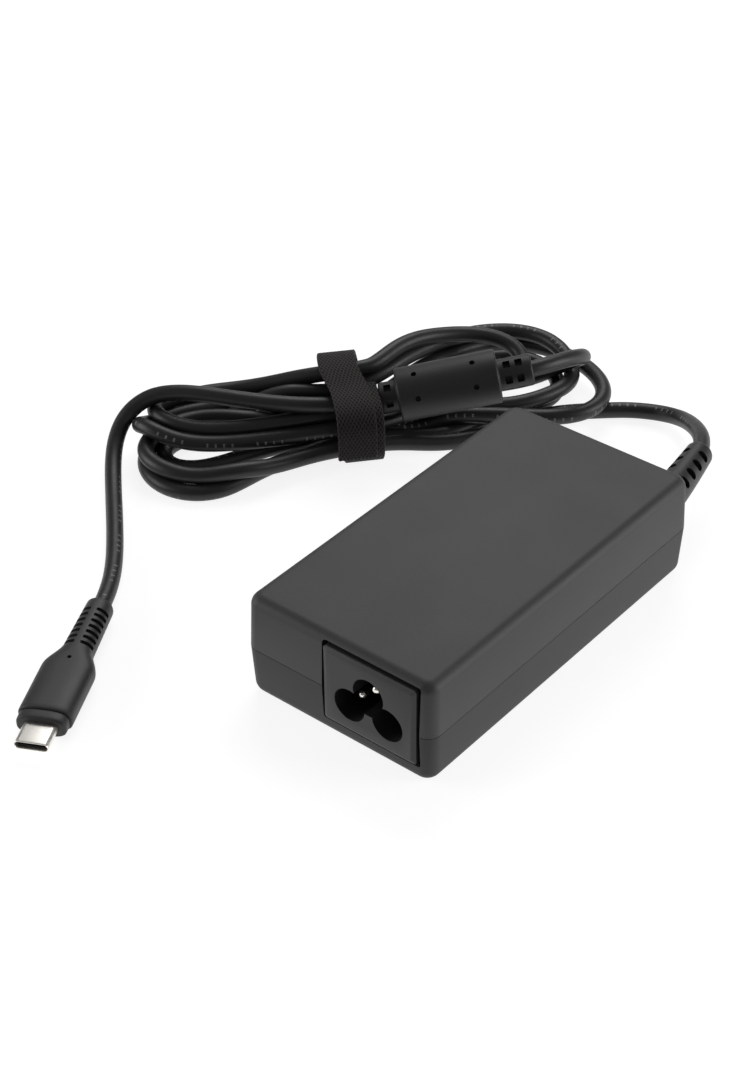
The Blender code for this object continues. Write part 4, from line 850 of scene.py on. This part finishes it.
TAPE_WIDTH = 10.4
TAPE_THICKNESS = 1.05
TAPE_EDGE = 0.35                  # rounding of the tape's edges
STRAP_LEFT = -6.3                 # where the outer layer's left edge lies along the hank
LAYER_SHIFT = 2.3                 # the inner layer shows by this much on the right
TAPE_START = math.radians(84)
TAPE_END = math.radians(-375)
LIFT_START, LIFT_END = math.radians(-150), math.radians(-262)
TAPE_STEP = 0.26
TAPE_COLUMNS = 40
THREAD_RELIEF = 0.13
REAR_SLIDE = 2.3                  # how far the outer layer lies to the left over the rear
SLIDE_START, SLIDE_END = math.radians(-300), math.radians(-225)


def eased(value):
    value = min(max(value, 0.0), 1.0)
    return value * value * (3 - 2 * value)


def strap_section(angle, out):
    """t and z on the strap's section, at a distance out from the strands it holds."""
    bulge = STRAP_BULGE * max(math.cos(angle - STRAP_BULGE_ANGLE), 0.0) ** 3
    half = (STRAP_ROOM[0] + bulge + DIAMETER / 2 + out, STRAP_ROOM[1] + bulge + DIAMETER / 2 + out)
    reach = (abs(math.cos(angle) / half[0]) ** STRAP_POWER
             + abs(math.sin(angle) / half[1]) ** STRAP_POWER) ** (-1 / STRAP_POWER)
    return STRAP_CENTRE[0] + reach * math.cos(angle), STRAP_CENTRE[1] + reach * math.sin(angle)


def strap_stations():
    """(angle, lift, run) along the tape, evenly spaced on its outer face."""
    angles = np.linspace(TAPE_START, TAPE_END, 1200)
    lifts = [TAPE_THICKNESS * 1.06 * eased((a - LIFT_START) / (LIFT_END - LIFT_START)) for a in angles]
    outline = np.array([strap_section(a, TAPE_THICKNESS + lift) for a, lift in zip(angles, lifts)])
    run = np.r_[0, np.cumsum(np.linalg.norm(np.diff(outline, axis=0), axis=1))]
    places = np.linspace(0, run[-1], int(run[-1] / TAPE_STEP))
    return [(np.interp(p, run, angles), np.interp(p, run, lifts), p) for p in places]


def tape_section(angle, lift, run, layer_two):
    """Points round the tape's own section at one station."""
    slide = eased((angle - SLIDE_START) / (SLIDE_END - SLIDE_START))
    shift = LAYER_SHIFT * (1 - layer_two) - REAR_SLIDE * layer_two * slide
    outer, inner = [], []
    for k in range(TAPE_COLUMNS + 1):
        u = k / TAPE_COLUMNS
        x = u * TAPE_WIDTH
        s = STRAP_LEFT + shift + x
        border = min(u, 1 - u) * TAPE_WIDTH
        round_off = TAPE_EDGE * (1 - math.sqrt(max(0.0, 1 - (1 - min(border / TAPE_EDGE, 1.0)) ** 2)))
        waves = [math.cos(2 * math.pi * (x * MM / THREAD_ACROSS + sign * run * MM / THREAD_ALONG))
                 for sign in (1, -1)]
        relief = THREAD_RELIEF * (max(waves) * 0.5 + 0.5)
        top = strap_section(angle, lift + TAPE_THICKNESS - round_off - THREAD_RELIEF + relief)
        base = strap_section(angle, lift + 0.04 + round_off)
        outer.append((hank_point(s, *top), (x * MM, run * MM)))
        inner.append((hank_point(s, *base), (x * MM, run * MM)))
    return outer + inner[::-1]


def build_strap():
    """A hook-and-loop tape wound a turn and a quarter round the hank."""
    bm = bmesh.new()
    layer = bm.loops.layers.uv.new("tape")
    places = {}
    rings = []
    for angle, lift, run in strap_stations():
        layer_two = eased((angle - LIFT_START) / (LIFT_END - LIFT_START))
        ring = []
        for point, uv in tape_section(angle, lift, run, layer_two):
            vert = bm.verts.new(point)
            places[vert] = uv
            ring.append(vert)
        rings.append(ring)
    count = len(rings[0])
    faces = [bm.faces.new(rings[0]), bm.faces.new(rings[-1][::-1])]
    for first, second in zip(rings, rings[1:]):
        for i in range(count):
            j = (i + 1) % count
            faces.append(bm.faces.new((first[j], first[i], second[i], second[j])))
    for face in faces:
        for loop in face.loops:
            loop[layer].uv = places[loop.vert]
    return put("strap_band", mesh_from(bm, "strap_band"), "strap", angle=60)


# ---------------------------------------------------------------- case

def open_tray(name, open_height, closed_height, draft, edge_radius):
    """A drafted, rounded tray, as in the CAD part but with finer rounds."""
    depth = abs(closed_height - open_height)
    bm = bmesh.new()
    bmesh.ops.create_cube(bm, size=1.0)
    for vert in bm.verts:
        at_closed_end = (vert.co.z > 0) == (closed_height > open_height)
        inset = draft * depth if at_closed_end else 0.0
        vert.co.x *= CASE_WIDTH - 2 * inset
        vert.co.y *= CASE_LENGTH - 2 * inset
        vert.co.z = closed_height if at_closed_end else open_height
    bevel(bm, edges_along(bm, 2, depth / 2), CORNER_RADIUS, 14)
    bevel(bm, at_height(bm.edges, closed_height), edge_radius, 12)
    bmesh.ops.recalc_face_normals(bm, faces=bm.faces)
    bmesh.ops.delete(bm, geom=at_height(bm.faces, open_height), context='FACES_ONLY')
    mesh = bpy.data.meshes.new(name)
    bm.to_mesh(mesh)
    bm.free()
    tray = put(name, mesh, "case")
    solidify = tray.modifiers.new("wall", 'SOLIDIFY')
    solidify.thickness = WALL
    solidify.offset = -1.0
    solidify.use_even_offset = True
    bake(tray)
    round_mouth(tray, open_height)
    return tray


def round_mouth(tray, open_height):
    """A tiny chamfer on the outer edge that meets the other cover."""
    bm = bmesh.new()
    bm.from_mesh(tray.data)
    outer = []
    for edge in bm.edges:
        level = all(abs(vert.co.z - open_height) < 1e-6 for vert in edge.verts)
        reach = max(max(abs(vert.co.x) / CASE_WIDTH, abs(vert.co.y) / CASE_LENGTH)
                    for vert in edge.verts)
        low = min((Vector(vert.co.xy) - inner_corner(vert.co)).length for vert in edge.verts)
        if level and (reach > 0.499 or low > CORNER_RADIUS - 0.1 * MM) and is_outer(edge):
            outer.append(edge)
    bevel(bm, outer, PARTING_CHAMFER, 2)
    bm.to_mesh(tray.data)
    bm.free()


def inner_corner(point):
    """The nearest point of the rectangle on which the rounded corners are centred."""
    x = CASE_WIDTH / 2 - CORNER_RADIUS
    y = CASE_LENGTH / 2 - CORNER_RADIUS
    return Vector((min(max(point.x, -x), x), min(max(point.y, -y), y)))


def is_outer(edge):
    """True on the cover's outside, where the corner centres are a full radius away."""
    return all((Vector(vert.co.xy) - inner_corner(vert.co)).length > CORNER_RADIUS - WALL / 2
               for vert in edge.verts)


def wall_cutters():
    """The reveal round the inlet's panel, and the gland's hole."""
    size = (PANEL_WIDTH + 2 * OPENING_GAP, 4 * WALL, PANEL_HIGH - PANEL_LOW + 2 * OPENING_GAP)
    bm = box_mesh(size)
    bevel(bm, edges_along(bm, 1, WALL), OPENING_GAP, 6)
    centre = Matrix.Translation((INLET_X, FRONT_FACE, PANEL_MIDDLE))
    bmesh.ops.transform(bm, matrix=centre, verts=bm.verts)
    return [cutter(bm), cylinder_cutter(GLAND_ROOT_RADIUS + GAP, 4 * WALL, GLAND_ROOT)]


def build_case():
    for name, node, open_height, closed_height, draft, edge in (
            ("case_upper", "top_cover", PARTING_HEIGHT + HAIRLINE / 2, CASE_HEIGHT, UPPER_DRAFT,
             TOP_EDGE_RADIUS),
            ("case_lower", "bottom_cover", PARTING_HEIGHT - HAIRLINE / 2, 0.0, LOWER_DRAFT,
             BOTTOM_EDGE_RADIUS)):
        cover = open_tray(name, open_height, closed_height, draft, edge)
        carve(cover, wall_cutters())
        stand_for(cover, "case_plastic", node)
    build_case_tongue()


TONGUE_THICKNESS = 0.8 * MM
TONGUE_HEIGHT = 1.6 * MM


def rounded_outline(inset):
    """The case's outline at the parting line, moved inwards."""
    return rounded_rectangle(CASE_WIDTH / 2 - inset, CASE_LENGTH / 2 - inset,
                             max(CORNER_RADIUS - inset, 0.4 * MM), 12)


def build_case_tongue():
    """The lip inside the parting line that the two covers close on."""
    outside = rounded_outline(WALL / 2)
    inside = rounded_outline(WALL / 2 + TONGUE_THICKNESS)
    low, high = PARTING_HEIGHT - TONGUE_HEIGHT / 2, PARTING_HEIGHT + TONGUE_HEIGHT / 2
    section = [(outside, low), (outside, high), (inside, high), (inside, low)]
    rings = [[Vector((x, y, z)) for x, y in outline] for outline, z in section]
    tongue = loft("case_tongue", rings, "case", closed=True)
    carve(tongue, wall_cutters())
    stand_for(tongue, "case_plastic")


# ---------------------------------------------------------------- mains inlet

PANEL_CORNER = 0.7 * MM
FLANGE_OVERLAP = 1.2 * MM
SOCKET_BACK = 4.0 * MM
SOCKET_MARGIN = 1.2 * MM          # moulding round the socket's lobes


def panel_ring(y, inset):
    """The inlet panel's outline at a depth."""
    outline = rounded_rectangle(PANEL_WIDTH / 2 - inset, (PANEL_HIGH - PANEL_LOW) / 2 - inset,
                                PANEL_CORNER, 6)
    return [Vector((INLET_X + x, y, PANEL_MIDDLE + z)) for x, z in outline]


def inlet_backing():
    """The socket's body, and the flange that lies behind the case's wall."""
    low, high = LOBE_HEIGHT - LOBE_RADIUS - SOCKET_MARGIN, EARTH_HEIGHT + LOBE_RADIUS + SOCKET_MARGIN
    width = LOBE_SPACING + 2 * (LOBE_RADIUS + SOCKET_MARGIN)
    start, end = FRONT_FACE + WALL - 0.4 * MM, PANEL_FACE + SOCKET_DEPTH + SOCKET_BACK
    body = cutter_box((width, end - start, high - low), (INLET_X, (end + start) / 2, (low + high) / 2),
                      0.3 * MM)
    low, high = HOUSING_LOW.z, HOUSING_HIGH.z
    width = PANEL_WIDTH + 2 * OPENING_GAP + 1.4 * FLANGE_OVERLAP
    flange = cutter_box((width, 1.2 * MM, high - low),
                        (INLET_X, FRONT_FACE + WALL + 1.3 * MM, (low + high) / 2), 0.2 * MM)
    return [body, flange]


def clover_cutter():
    """The socket's three lobes and the room between them."""
    depth = SOCKET_DEPTH + 4 * MM
    middle = PANEL_FACE + SOCKET_DEPTH - depth / 2
    lobes = [cylinder_cutter(LOBE_RADIUS, depth, (INLET_X + aside, middle, height), 72)
             for aside, height in ((-LOBE_SPACING / 2, LOBE_HEIGHT), (LOBE_SPACING / 2, LOBE_HEIGHT),
                                   (0.0, EARTH_HEIGHT))]
    low = LOBE_HEIGHT - TONGUE_DROP
    neck = cutter_box((LOBE_SPACING / 2, depth, EARTH_HEIGHT - low),
                      (INLET_X, middle, (EARTH_HEIGHT + low) / 2))
    return carve(lobes[0], lobes[1:] + [neck], 'UNION')


def in_socket(place):
    """True behind the panel's face, where the socket's mouth is."""
    return (place.y > PANEL_FACE + 0.3 * MM and abs(place.x - INLET_X) < LOBE_SPACING
            and LOBE_HEIGHT - 1.1 * LOBE_RADIUS < place.z < EARTH_HEIGHT + 1.1 * LOBE_RADIUS)


def build_inlet():
    rings = [panel_ring(FRONT_FACE + WALL, 0.0), panel_ring(PANEL_FACE + 0.55 * MM, 0.0),
             panel_ring(PANEL_FACE + 0.12 * MM, 0.75 * MM), panel_ring(PANEL_FACE, 0.95 * MM)]
    inlet = loft("inlet_moulding", rings, "inlet")
    carve(inlet, inlet_backing(), 'UNION')
    carve(inlet, [clover_cutter()])
    # The faces inside the socket's mouth take the near-black finish: painted shade.
    inlet.data.materials.append(MATERIALS["socket"])
    for face in inlet.data.polygons:
        face.material_index = int(in_socket(face.center))
    stand_for(inlet, "inlet_plastic", "inlet_housing")


def build_pins():
    """Round-nosed contact pins, each with a leg down to the circuit board."""
    for name in ("line", "neutral", "earth"):
        low, high = node_box("inlet_pin_" + name)
        x, z = (low.x + high.x) / 2, high.z - PIN_RADIUS
        length = high.y - low.y
        nose = [(PIN_RADIUS * math.cos(a), length - PIN_RADIUS * (1 - math.sin(a)))
                for a in (math.pi / 2 * k / 10 for k in range(10))]
        pin = turned("contact_pin_" + name, [(PIN_RADIUS, 0.0)] + nose + [(0.06 * MM, length)],
                     frame_at(Vector((x, high.y, z)), Vector((0, -1, 0))), "pin", 40, closed=False)
        carve(pin, [cutter_box((1.4 * MM, 0.6 * MM, z - low.z),
                               (x, high.y - 0.9 * MM, (low.z + z) / 2))], 'UNION')
        stand_for(pin, "contact_metal", "inlet_pin_" + name)


# ---------------------------------------------------------------- gland

GLAND_SLOT_PITCH = 4.3 * MM
GLAND_SLOT_RINGS = 4
GLAND_SLOT_SIZE = (2.2 * MM, 3.5 * MM)  # along and round the relief


def build_gland():
    """Slotted strain relief whose collar sits against the case."""
    steps = 36
    start, flange_end = -5.4 * MM, -2.6 * MM
    stations = [(start, 6.4 * MM), (flange_end, 6.4 * MM), (flange_end + 0.05 * MM, GLAND_ROOT_RADIUS),
                (0.0, GLAND_ROOT_RADIUS), (0.05 * MM, GLAND_ROOT_RADIUS + 0.25 * MM),
                (0.3 * MM, GLAND_ROOT_RADIUS + 0.45 * MM), (1.3 * MM, GLAND_ROOT_RADIUS + 0.45 * MM),
                (1.6 * MM, GLAND_ROOT_RADIUS + 0.15 * MM)]
    for k in range(steps + 1):
        d = 2.0 * MM + (GLAND_LENGTH - 2.8 * MM) * k / steps
        stations.append((d, GLAND_ROOT_RADIUS + (GLAND_TIP_RADIUS - GLAND_ROOT_RADIUS) * d / GLAND_LENGTH))
    stations += [(d, r) for d, r, _ in rounded_end(GLAND_LENGTH, GLAND_TIP_RADIUS, 0.0, 0.8 * MM)]
    stations += [(d, CORD_RADIUS + 0.04 * MM) for d in np.linspace(GLAND_LENGTH - 0.05 * MM, start, 30)]
    gland = loft("gland_moulding", [ring_of(gland_placement(d), r, 72) for d, r in stations], "gland",
                 closed=True)
    first = GLAND_LENGTH - GLAND_SLOT_PITCH * GLAND_SLOT_RINGS - 0.5 * MM
    places = [gland_placement(first + GLAND_SLOT_PITCH * k) for k in range(GLAND_SLOT_RINGS)]
    carve(gland, [slot_cutters(places, CORD_RADIUS + 0.35 * MM, 3 * GLAND_ROOT_RADIUS, *GLAND_SLOT_SIZE,
                               round_share=0.49)])
    return stand_for(gland, "cord_pvc", "output_gland")


# ---------------------------------------------------------------- ferrite

VENT_RADIUS = 0.75 * MM
VENT_INSETS = (5.2 * MM, 6.3 * MM)  # from the cover's left and right ends
VENT_ANGLES = (106, 162, 286, 342)
WINDOW_ANGLES = range(51, 360, 60)
LEFT_WINDOWS = (0.5,)             # shares of the relief's length, from the cover
RIGHT_WINDOWS = (0.27, 0.62)
WINDOW_SIZE = (1.9 * MM, 2.3 * MM)  # along and round the relief
WINDOW_DEPTH = 1.25 * MM


def vent_cutter(placement):
    """The two rows of vent holes in the ferrite's cover."""
    vents = bmesh.new()
    for height in (VENT_INSETS[0], FERRITE_LENGTH - VENT_INSETS[1]):
        for degrees in VENT_ANGLES:
            place = (placement @ Matrix.Rotation(math.radians(degrees), 4, 'Z')
                     @ Matrix.Translation((FERRITE_RADIUS, 0, height))
                     @ Matrix.Rotation(math.pi / 2, 4, 'Y'))
            bmesh.ops.create_cone(vents, cap_ends=True, segments=20, radius1=VENT_RADIUS,
                                  radius2=VENT_RADIUS, depth=3 * FERRITE_WALL, matrix=place)
    return cutter(vents)


def build_ferrite():
    """The ferrite's cover: a hollow sleeve with a windowed strain relief at each end."""
    placement = ferrite_placement()
    length, wall = FERRITE_LENGTH, FERRITE_WALL
    left_end, right_end = -FERRITE_LEFT_RELIEF, length + FERRITE_RIGHT_RELIEF
    bore, relief, inner = CORD_RADIUS + 0.06 * MM, FERRITE_RELIEF_RADIUS, FERRITE_RADIUS - wall
    edge, mouth, foot = 0.75 * MM, 0.1 * MM, 0.35 * MM
    outline = [(bore, right_end, mouth), (relief, right_end, edge), (relief, length, foot),
               (FERRITE_RADIUS, length, edge), (FERRITE_RADIUS, 0.0, edge), (relief, 0.0, foot),
               (relief, left_end, edge), (bore, left_end, mouth), (bore, wall, 0.0), (inner, wall, 0.0),
               (inner, length - wall, 0.0), (bore, length - wall, 0.0)]
    profile = fillet([corner[:2] for corner in outline], [corner[2] for corner in outline])
    cover = turned("ferrite_moulding", profile, placement, "sleeve")
    vents = vent_cutter(placement)
    middles = [left_end * share for share in LEFT_WINDOWS]
    middles += [length + FERRITE_RIGHT_RELIEF * share for share in RIGHT_WINDOWS]
    places = [placement @ Matrix.Translation((0, 0, middle)) for middle in middles]
    carve(cover, [vents, slot_cutters(places, relief - WINDOW_DEPTH, FERRITE_RADIUS, *WINDOW_SIZE,
                                      WINDOW_ANGLES, round_share=0.15)])
    return stand_for(cover, "moulded_cover", "ferrite_cover")


# ---------------------------------------------------------------- USB-C plug

PLUG_RELIEF_LENGTH = 17.0 * MM
PLUG_SHOULDER = 8.0 * MM
PLUG_BODY_END = 41.4 * MM
PLUG_HALF_WIDTH = 6.5 * MM
PLUG_HALF_HEIGHT = 3.3 * MM
PLUG_RELIEF_RADIUS = 3.4 * MM
PLUG_RELIEF_GROWTH = 1.14
PLUG_SQUARENESS = 3.0
PLUG_ROUND = 0.8 * MM
PLUG_CAVITY_START = 24.0 * MM
COLLAR_LENGTH = 2.7 * MM
COLLAR_STEP = 0.5 * MM
SHELL_SIZE = (8.25 * MM, 2.4 * MM)
SHELL_WALL = 0.3 * MM
SHELL_REACH = 6.7 * MM
SHELL_LENGTH = 12.5 * MM
COLLAR_START = PLUG_BODY_END + 0.25 * MM
COLLAR_END = COLLAR_START + COLLAR_LENGTH
SHELL_MOUTH = COLLAR_END + SHELL_REACH
SHELL_BACK = SHELL_MOUTH - SHELL_LENGTH
RELIEF_SQUARENESS = 2.2
PLUG_SLOT_PITCH = 2.1 * MM
PLUG_SLOT_RINGS = 7
PLUG_SLOT_SIZE = (1.15 * MM, 3.6 * MM)  # along and round the relief
DIMPLE_PLACE = 23.0 * MM
DIMPLE_RADIUS = 0.55 * MM
CONTACTS = 12                     # on each side of the tongue
CONTACT_PITCH = 0.5 * MM
CONTACT_SIZE = (0.24 * MM, 0.12 * MM, 3.4 * MM)


def oval(distance, half_width, half_height, squareness=PLUG_SQUARENESS, count=80):
    """Rounded section across the plug at a distance from its cord end."""
    placement = plug_placement(distance)
    power = 2 / squareness
    points = []
    for k in range(count):
        c, n = math.cos(2 * math.pi * k / count), math.sin(2 * math.pi * k / count)
        points.append(placement @ Vector((half_width * math.copysign(abs(c) ** power, c),
                                          half_height * math.copysign(abs(n) ** power, n), 0.0)))
    return points


def stadium(distance, width, height, count=16):
    """Flat-sided section with round ends, like the metal shell's."""
    placement = plug_placement(distance)
    radius = height / 2
    centre = width / 2 - radius
    points = []
    for side in (1, -1):
        for k in range(count + 1):
            a = math.pi * k / count - math.pi / 2
            points.append(placement @ Vector((side * (centre + radius * math.cos(a)),
                                              side * radius * math.sin(a), 0.0)))
    return points


def rounded_end(last, width, height, size, steps=5):
    """Rings that round off an end at distance last."""
    rings = []
    for k in range(1, steps + 1):
        a = math.pi / 2 * k / steps
        inset = size * (1 - math.cos(a))
        rings.append((last - size * (1 - math.sin(a)), width - inset, height - inset))
    return rings


def shell_bar(start, end, wider, higher, name="cutter", finish=None):
    """A bar along the plug that is wider and higher than the metal shell by these lengths."""
    return loft(name, [stadium(d, SHELL_SIZE[0] + wider, SHELL_SIZE[1] + higher) for d in (start, end)],
                finish)


def plug_rings():
    """Sections of the plug's overmould, from its strain relief to the collar."""
    tip, root = PLUG_RELIEF_RADIUS, PLUG_RELIEF_RADIUS * PLUG_RELIEF_GROWTH
    width, height, section = PLUG_HALF_WIDTH, PLUG_HALF_HEIGHT, RELIEF_SQUARENESS
    rings = []
    for k in range(6):
        a = math.pi / 2 * k / 5
        inset = PLUG_ROUND * (1 - math.sin(a))
        rings.append(oval(PLUG_ROUND * (1 - math.cos(a)), tip - inset, min(tip, height) - inset, section))
    for u in (k / 6 for k in range(1, 7)):
        rings.append(oval(PLUG_ROUND + (PLUG_RELIEF_LENGTH - PLUG_ROUND) * u, tip + (root - tip) * u,
                          height, section))
    for u in (k / 16 for k in range(1, 17)):
        blend = 0.5 - 0.5 * math.cos(math.pi * u)
        rings.append(oval(PLUG_RELIEF_LENGTH + PLUG_SHOULDER * u, root + (width - root) * blend, height,
                          section + (PLUG_SQUARENESS - section) * u))
    rings.append(oval(PLUG_BODY_END - 2 * PLUG_ROUND, width, height))
    return rings + [oval(*ring) for ring in rounded_end(PLUG_BODY_END, width, height, 0.45 * MM)]


def build_plug_body():
    """The overmould: slotted strain relief, shoulder and grip with a dimple on top."""
    body = loft("plug_moulding", plug_rings(), "cover")
    bore = loft("cutter", [ring_of(plug_placement(d), CORD_RADIUS + 0.06 * MM)
                           for d in (-MM, PLUG_CAVITY_START + MM)])
    cavity = shell_bar(PLUG_CAVITY_START, PLUG_BODY_END + MM, 3.2 * MM, 2.6 * MM)
    last = PLUG_RELIEF_LENGTH + 0.1 * MM
    places = [plug_placement(last - PLUG_SLOT_PITCH * k) for k in range(PLUG_SLOT_RINGS)]
    slots = slot_cutters(places, CORD_RADIUS + 0.3 * MM, 2 * PLUG_RELIEF_RADIUS, *PLUG_SLOT_SIZE)
    place = plug_placement(DIMPLE_PLACE) @ Matrix.Translation((0, PLUG_HALF_HEIGHT, 0))
    dimple = loft("cutter", [ring_of(place @ Matrix.Rotation(math.pi / 2, 4, 'X')
                                     @ Matrix.Translation((0, 0, z)), DIMPLE_RADIUS, 24)
                             for z in (-1.0 * MM, 1.2 * MM)])
    carve(body, [bore, cavity, slots, dimple])
    return stand_for(body, "moulded_cover", "plug_overmould")


def build_plug_collar():
    """The stepped collar round the shell, with a spigot into the overmould."""
    width, height = PLUG_HALF_WIDTH - COLLAR_STEP, PLUG_HALF_HEIGHT - COLLAR_STEP
    rings = [oval(COLLAR_START, width, height), oval(COLLAR_END - 1.2 * MM, width, height)]
    rings += [oval(*ring) for ring in rounded_end(COLLAR_END, width, height, 0.6 * MM)]
    collar = loft("plug_front_collar", rings, "cover")
    carve(collar, [shell_bar(COLLAR_START - 3 * MM, COLLAR_START + 0.5 * MM, 2.4 * MM, 1.8 * MM)], 'UNION')
    carve(collar, [shell_bar(COLLAR_START - 4 * MM, COLLAR_END + MM, 0.2 * MM, 0.2 * MM)])
    return stand_for(collar, "moulded_cover", "plug_collar")


def build_plug_shell():
    """The metal shell with a rounded mouth."""
    mouth, back, inner = SHELL_MOUTH, SHELL_BACK, -2 * SHELL_WALL
    outline = [(back, 0.0), (mouth - 0.35 * MM, 0.0), (mouth - 0.1 * MM, -0.08 * MM), (mouth, -0.2 * MM),
               (mouth, -0.45 * MM), (mouth - 0.12 * MM, -0.58 * MM), (mouth - 0.5 * MM, inner),
               (back, inner)]
    rings = [stadium(d, SHELL_SIZE[0] + grow, SHELL_SIZE[1] + grow) for d, grow in outline]
    return stand_for(loft("plug_shell", rings, "shell", closed=True), "shell_metal", "usb_c_shell")


def build_plug_insulator():
    """The moulding inside the shell, with the slot that takes the socket's tongue."""
    inner = -2 * SHELL_WALL - 0.2 * MM
    moulding = shell_bar(SHELL_BACK, SHELL_MOUTH - 0.9 * MM, inner, inner, "plug_insulator", "tongue")
    carve(moulding, [shell_bar(SHELL_MOUTH - 5.2 * MM, SHELL_MOUTH + MM, inner - 0.9 * MM,
                               inner - 0.75 * MM)])
    return stand_for(moulding, "moulding_black", "usb_c_insulator")


def build_plug_contacts():
    """Gold contacts on both sides of the slot."""
    contacts = bmesh.new()
    for side in (1, -1):
        for k in range(CONTACTS):
            place = (plug_placement(SHELL_MOUTH - 3.2 * MM)
                     @ Matrix.Translation(((k - (CONTACTS - 1) / 2) * CONTACT_PITCH, side * 0.40 * MM, 0)))
            bmesh.ops.create_cube(contacts, size=1.0,
                                  matrix=place @ Matrix.Diagonal((*CONTACT_SIZE, 1.0)))
    made = put("plug_contacts", mesh_from(contacts, "plug_contacts"), "contact")
    return stand_for(made, "contact_metal")


# ---------------------------------------------------------------- studio

FLOOR_HALF = 3.0                  # metres
FLOOR_DROP = 0.02 * MM
FLOOR_GREY = 0.36                 # what the floor gives back to the part
FLOOR_GLOW = 0.85                 # what the camera and reflections see of it, beside its shading
SKY_LIGHT = 0.16                  # the background's light on the part; the camera sees it white
LAMP_AIM = Vector((-0.03, 0.02, 0.01))
LAMP_SIZE = 0.6
LAMPS = (("key", (-0.40, 0.60, 0.74), 3.6), ("left", (-0.80, -0.60, 0.25), 4.2),
         ("right", (0.80, 0.50, 0.25), 5.0))  # metres and watts


def build_floor():
    mesh = bpy.data.meshes.new("floor")
    corners = [(x * FLOOR_HALF, y * FLOOR_HALF, 0) for x, y in ((-1, -1), (1, -1), (1, 1), (-1, 1))]
    mesh.from_pydata(corners, [], [(0, 1, 2, 3)])
    floor = bpy.data.objects.new("floor", mesh)
    floor.location.z = -FLOOR_DROP
    SCENE.collection.objects.link(floor)
    made, tree, shader = nodes_of("studio_floor")
    tree.nodes.remove(shader)
    path = tree.nodes.new("ShaderNodeLightPath")
    diffuse = add(tree, "ShaderNodeBsdfDiffuse", Color=(FLOOR_GREY, FLOOR_GREY, FLOOR_GREY, 1.0))
    seen = maths(tree, 'MAXIMUM', maths(tree, 'MAXIMUM', path.outputs["Is Camera Ray"],
                                        path.outputs["Is Glossy Ray"]), path.outputs["Is Transmission Ray"])
    glow = add(tree, "ShaderNodeEmission", Color=(1, 1, 1, 1),
               Strength=maths(tree, 'MULTIPLY', seen, FLOOR_GLOW))
    both = tree.nodes.new("ShaderNodeAddShader")
    tree.links.new(diffuse.outputs[0], both.inputs[0])
    tree.links.new(glow.outputs[0], both.inputs[1])
    tree.links.new(both.outputs[0], tree.nodes["Material Output"].inputs["Surface"])
    mesh.materials.append(made)


def build_sky():
    SCENE.world = bpy.data.worlds.new("studio")
    SCENE.world.use_nodes = True
    tree = SCENE.world.node_tree
    background = tree.nodes["Background"]
    background.inputs["Color"].default_value = (1, 1, 1, 1)
    path = tree.nodes.new("ShaderNodeLightPath")
    seen = maths(tree, 'MAXIMUM', path.outputs["Is Camera Ray"], path.outputs["Is Transmission Ray"])
    connect(tree, maths(tree, 'MAXIMUM', seen, SKY_LIGHT), background.inputs["Strength"])


def build_lamps():
    for name, place, power in LAMPS:
        lamp = bpy.data.lights.new(name, 'AREA')
        lamp.size = LAMP_SIZE
        lamp.energy = power
        made = bpy.data.objects.new(name, lamp)
        SCENE.collection.objects.link(made)
        made.location = place
        made.rotation_euler = (LAMP_AIM - Vector(place)).to_track_quat('-Z', 'Y').to_euler()


def build_studio():
    build_floor()
    build_sky()
    build_lamps()
    SCENE.view_settings.view_transform = 'Standard'


# ---------------------------------------------------------------- assembly

def dress_inside():
    """Give each CAD node that stays its slot's finish."""
    for part in frame["record"]["subparts"]:
        finish = INSIDE.get(part["material_slot"])
        if finish:
            mesh = frame["nodes"][part["node"]].data
            mesh.materials.clear()
            mesh.materials.append(finish)


def build():
    camera = place_camera()
    path = cord_path()
    cord = build_cord(path, camera.matrix_world.translation)
    strap = build_strap()
    build_case()
    build_inlet()
    build_pins()
    gland = build_gland()
    ferrite = build_ferrite()
    plug = [build_plug_body(), build_plug_collar(), build_plug_shell(), build_plug_insulator(),
            build_plug_contacts()]
    dress_inside()
    stand_for(cord, "cord_pvc", "cord_case_to_hank", "cord_hank", "cord_hank_to_plug")
    stand_for(strap, "strap_weave", "hook_and_loop_strap")
    build_studio()


build()
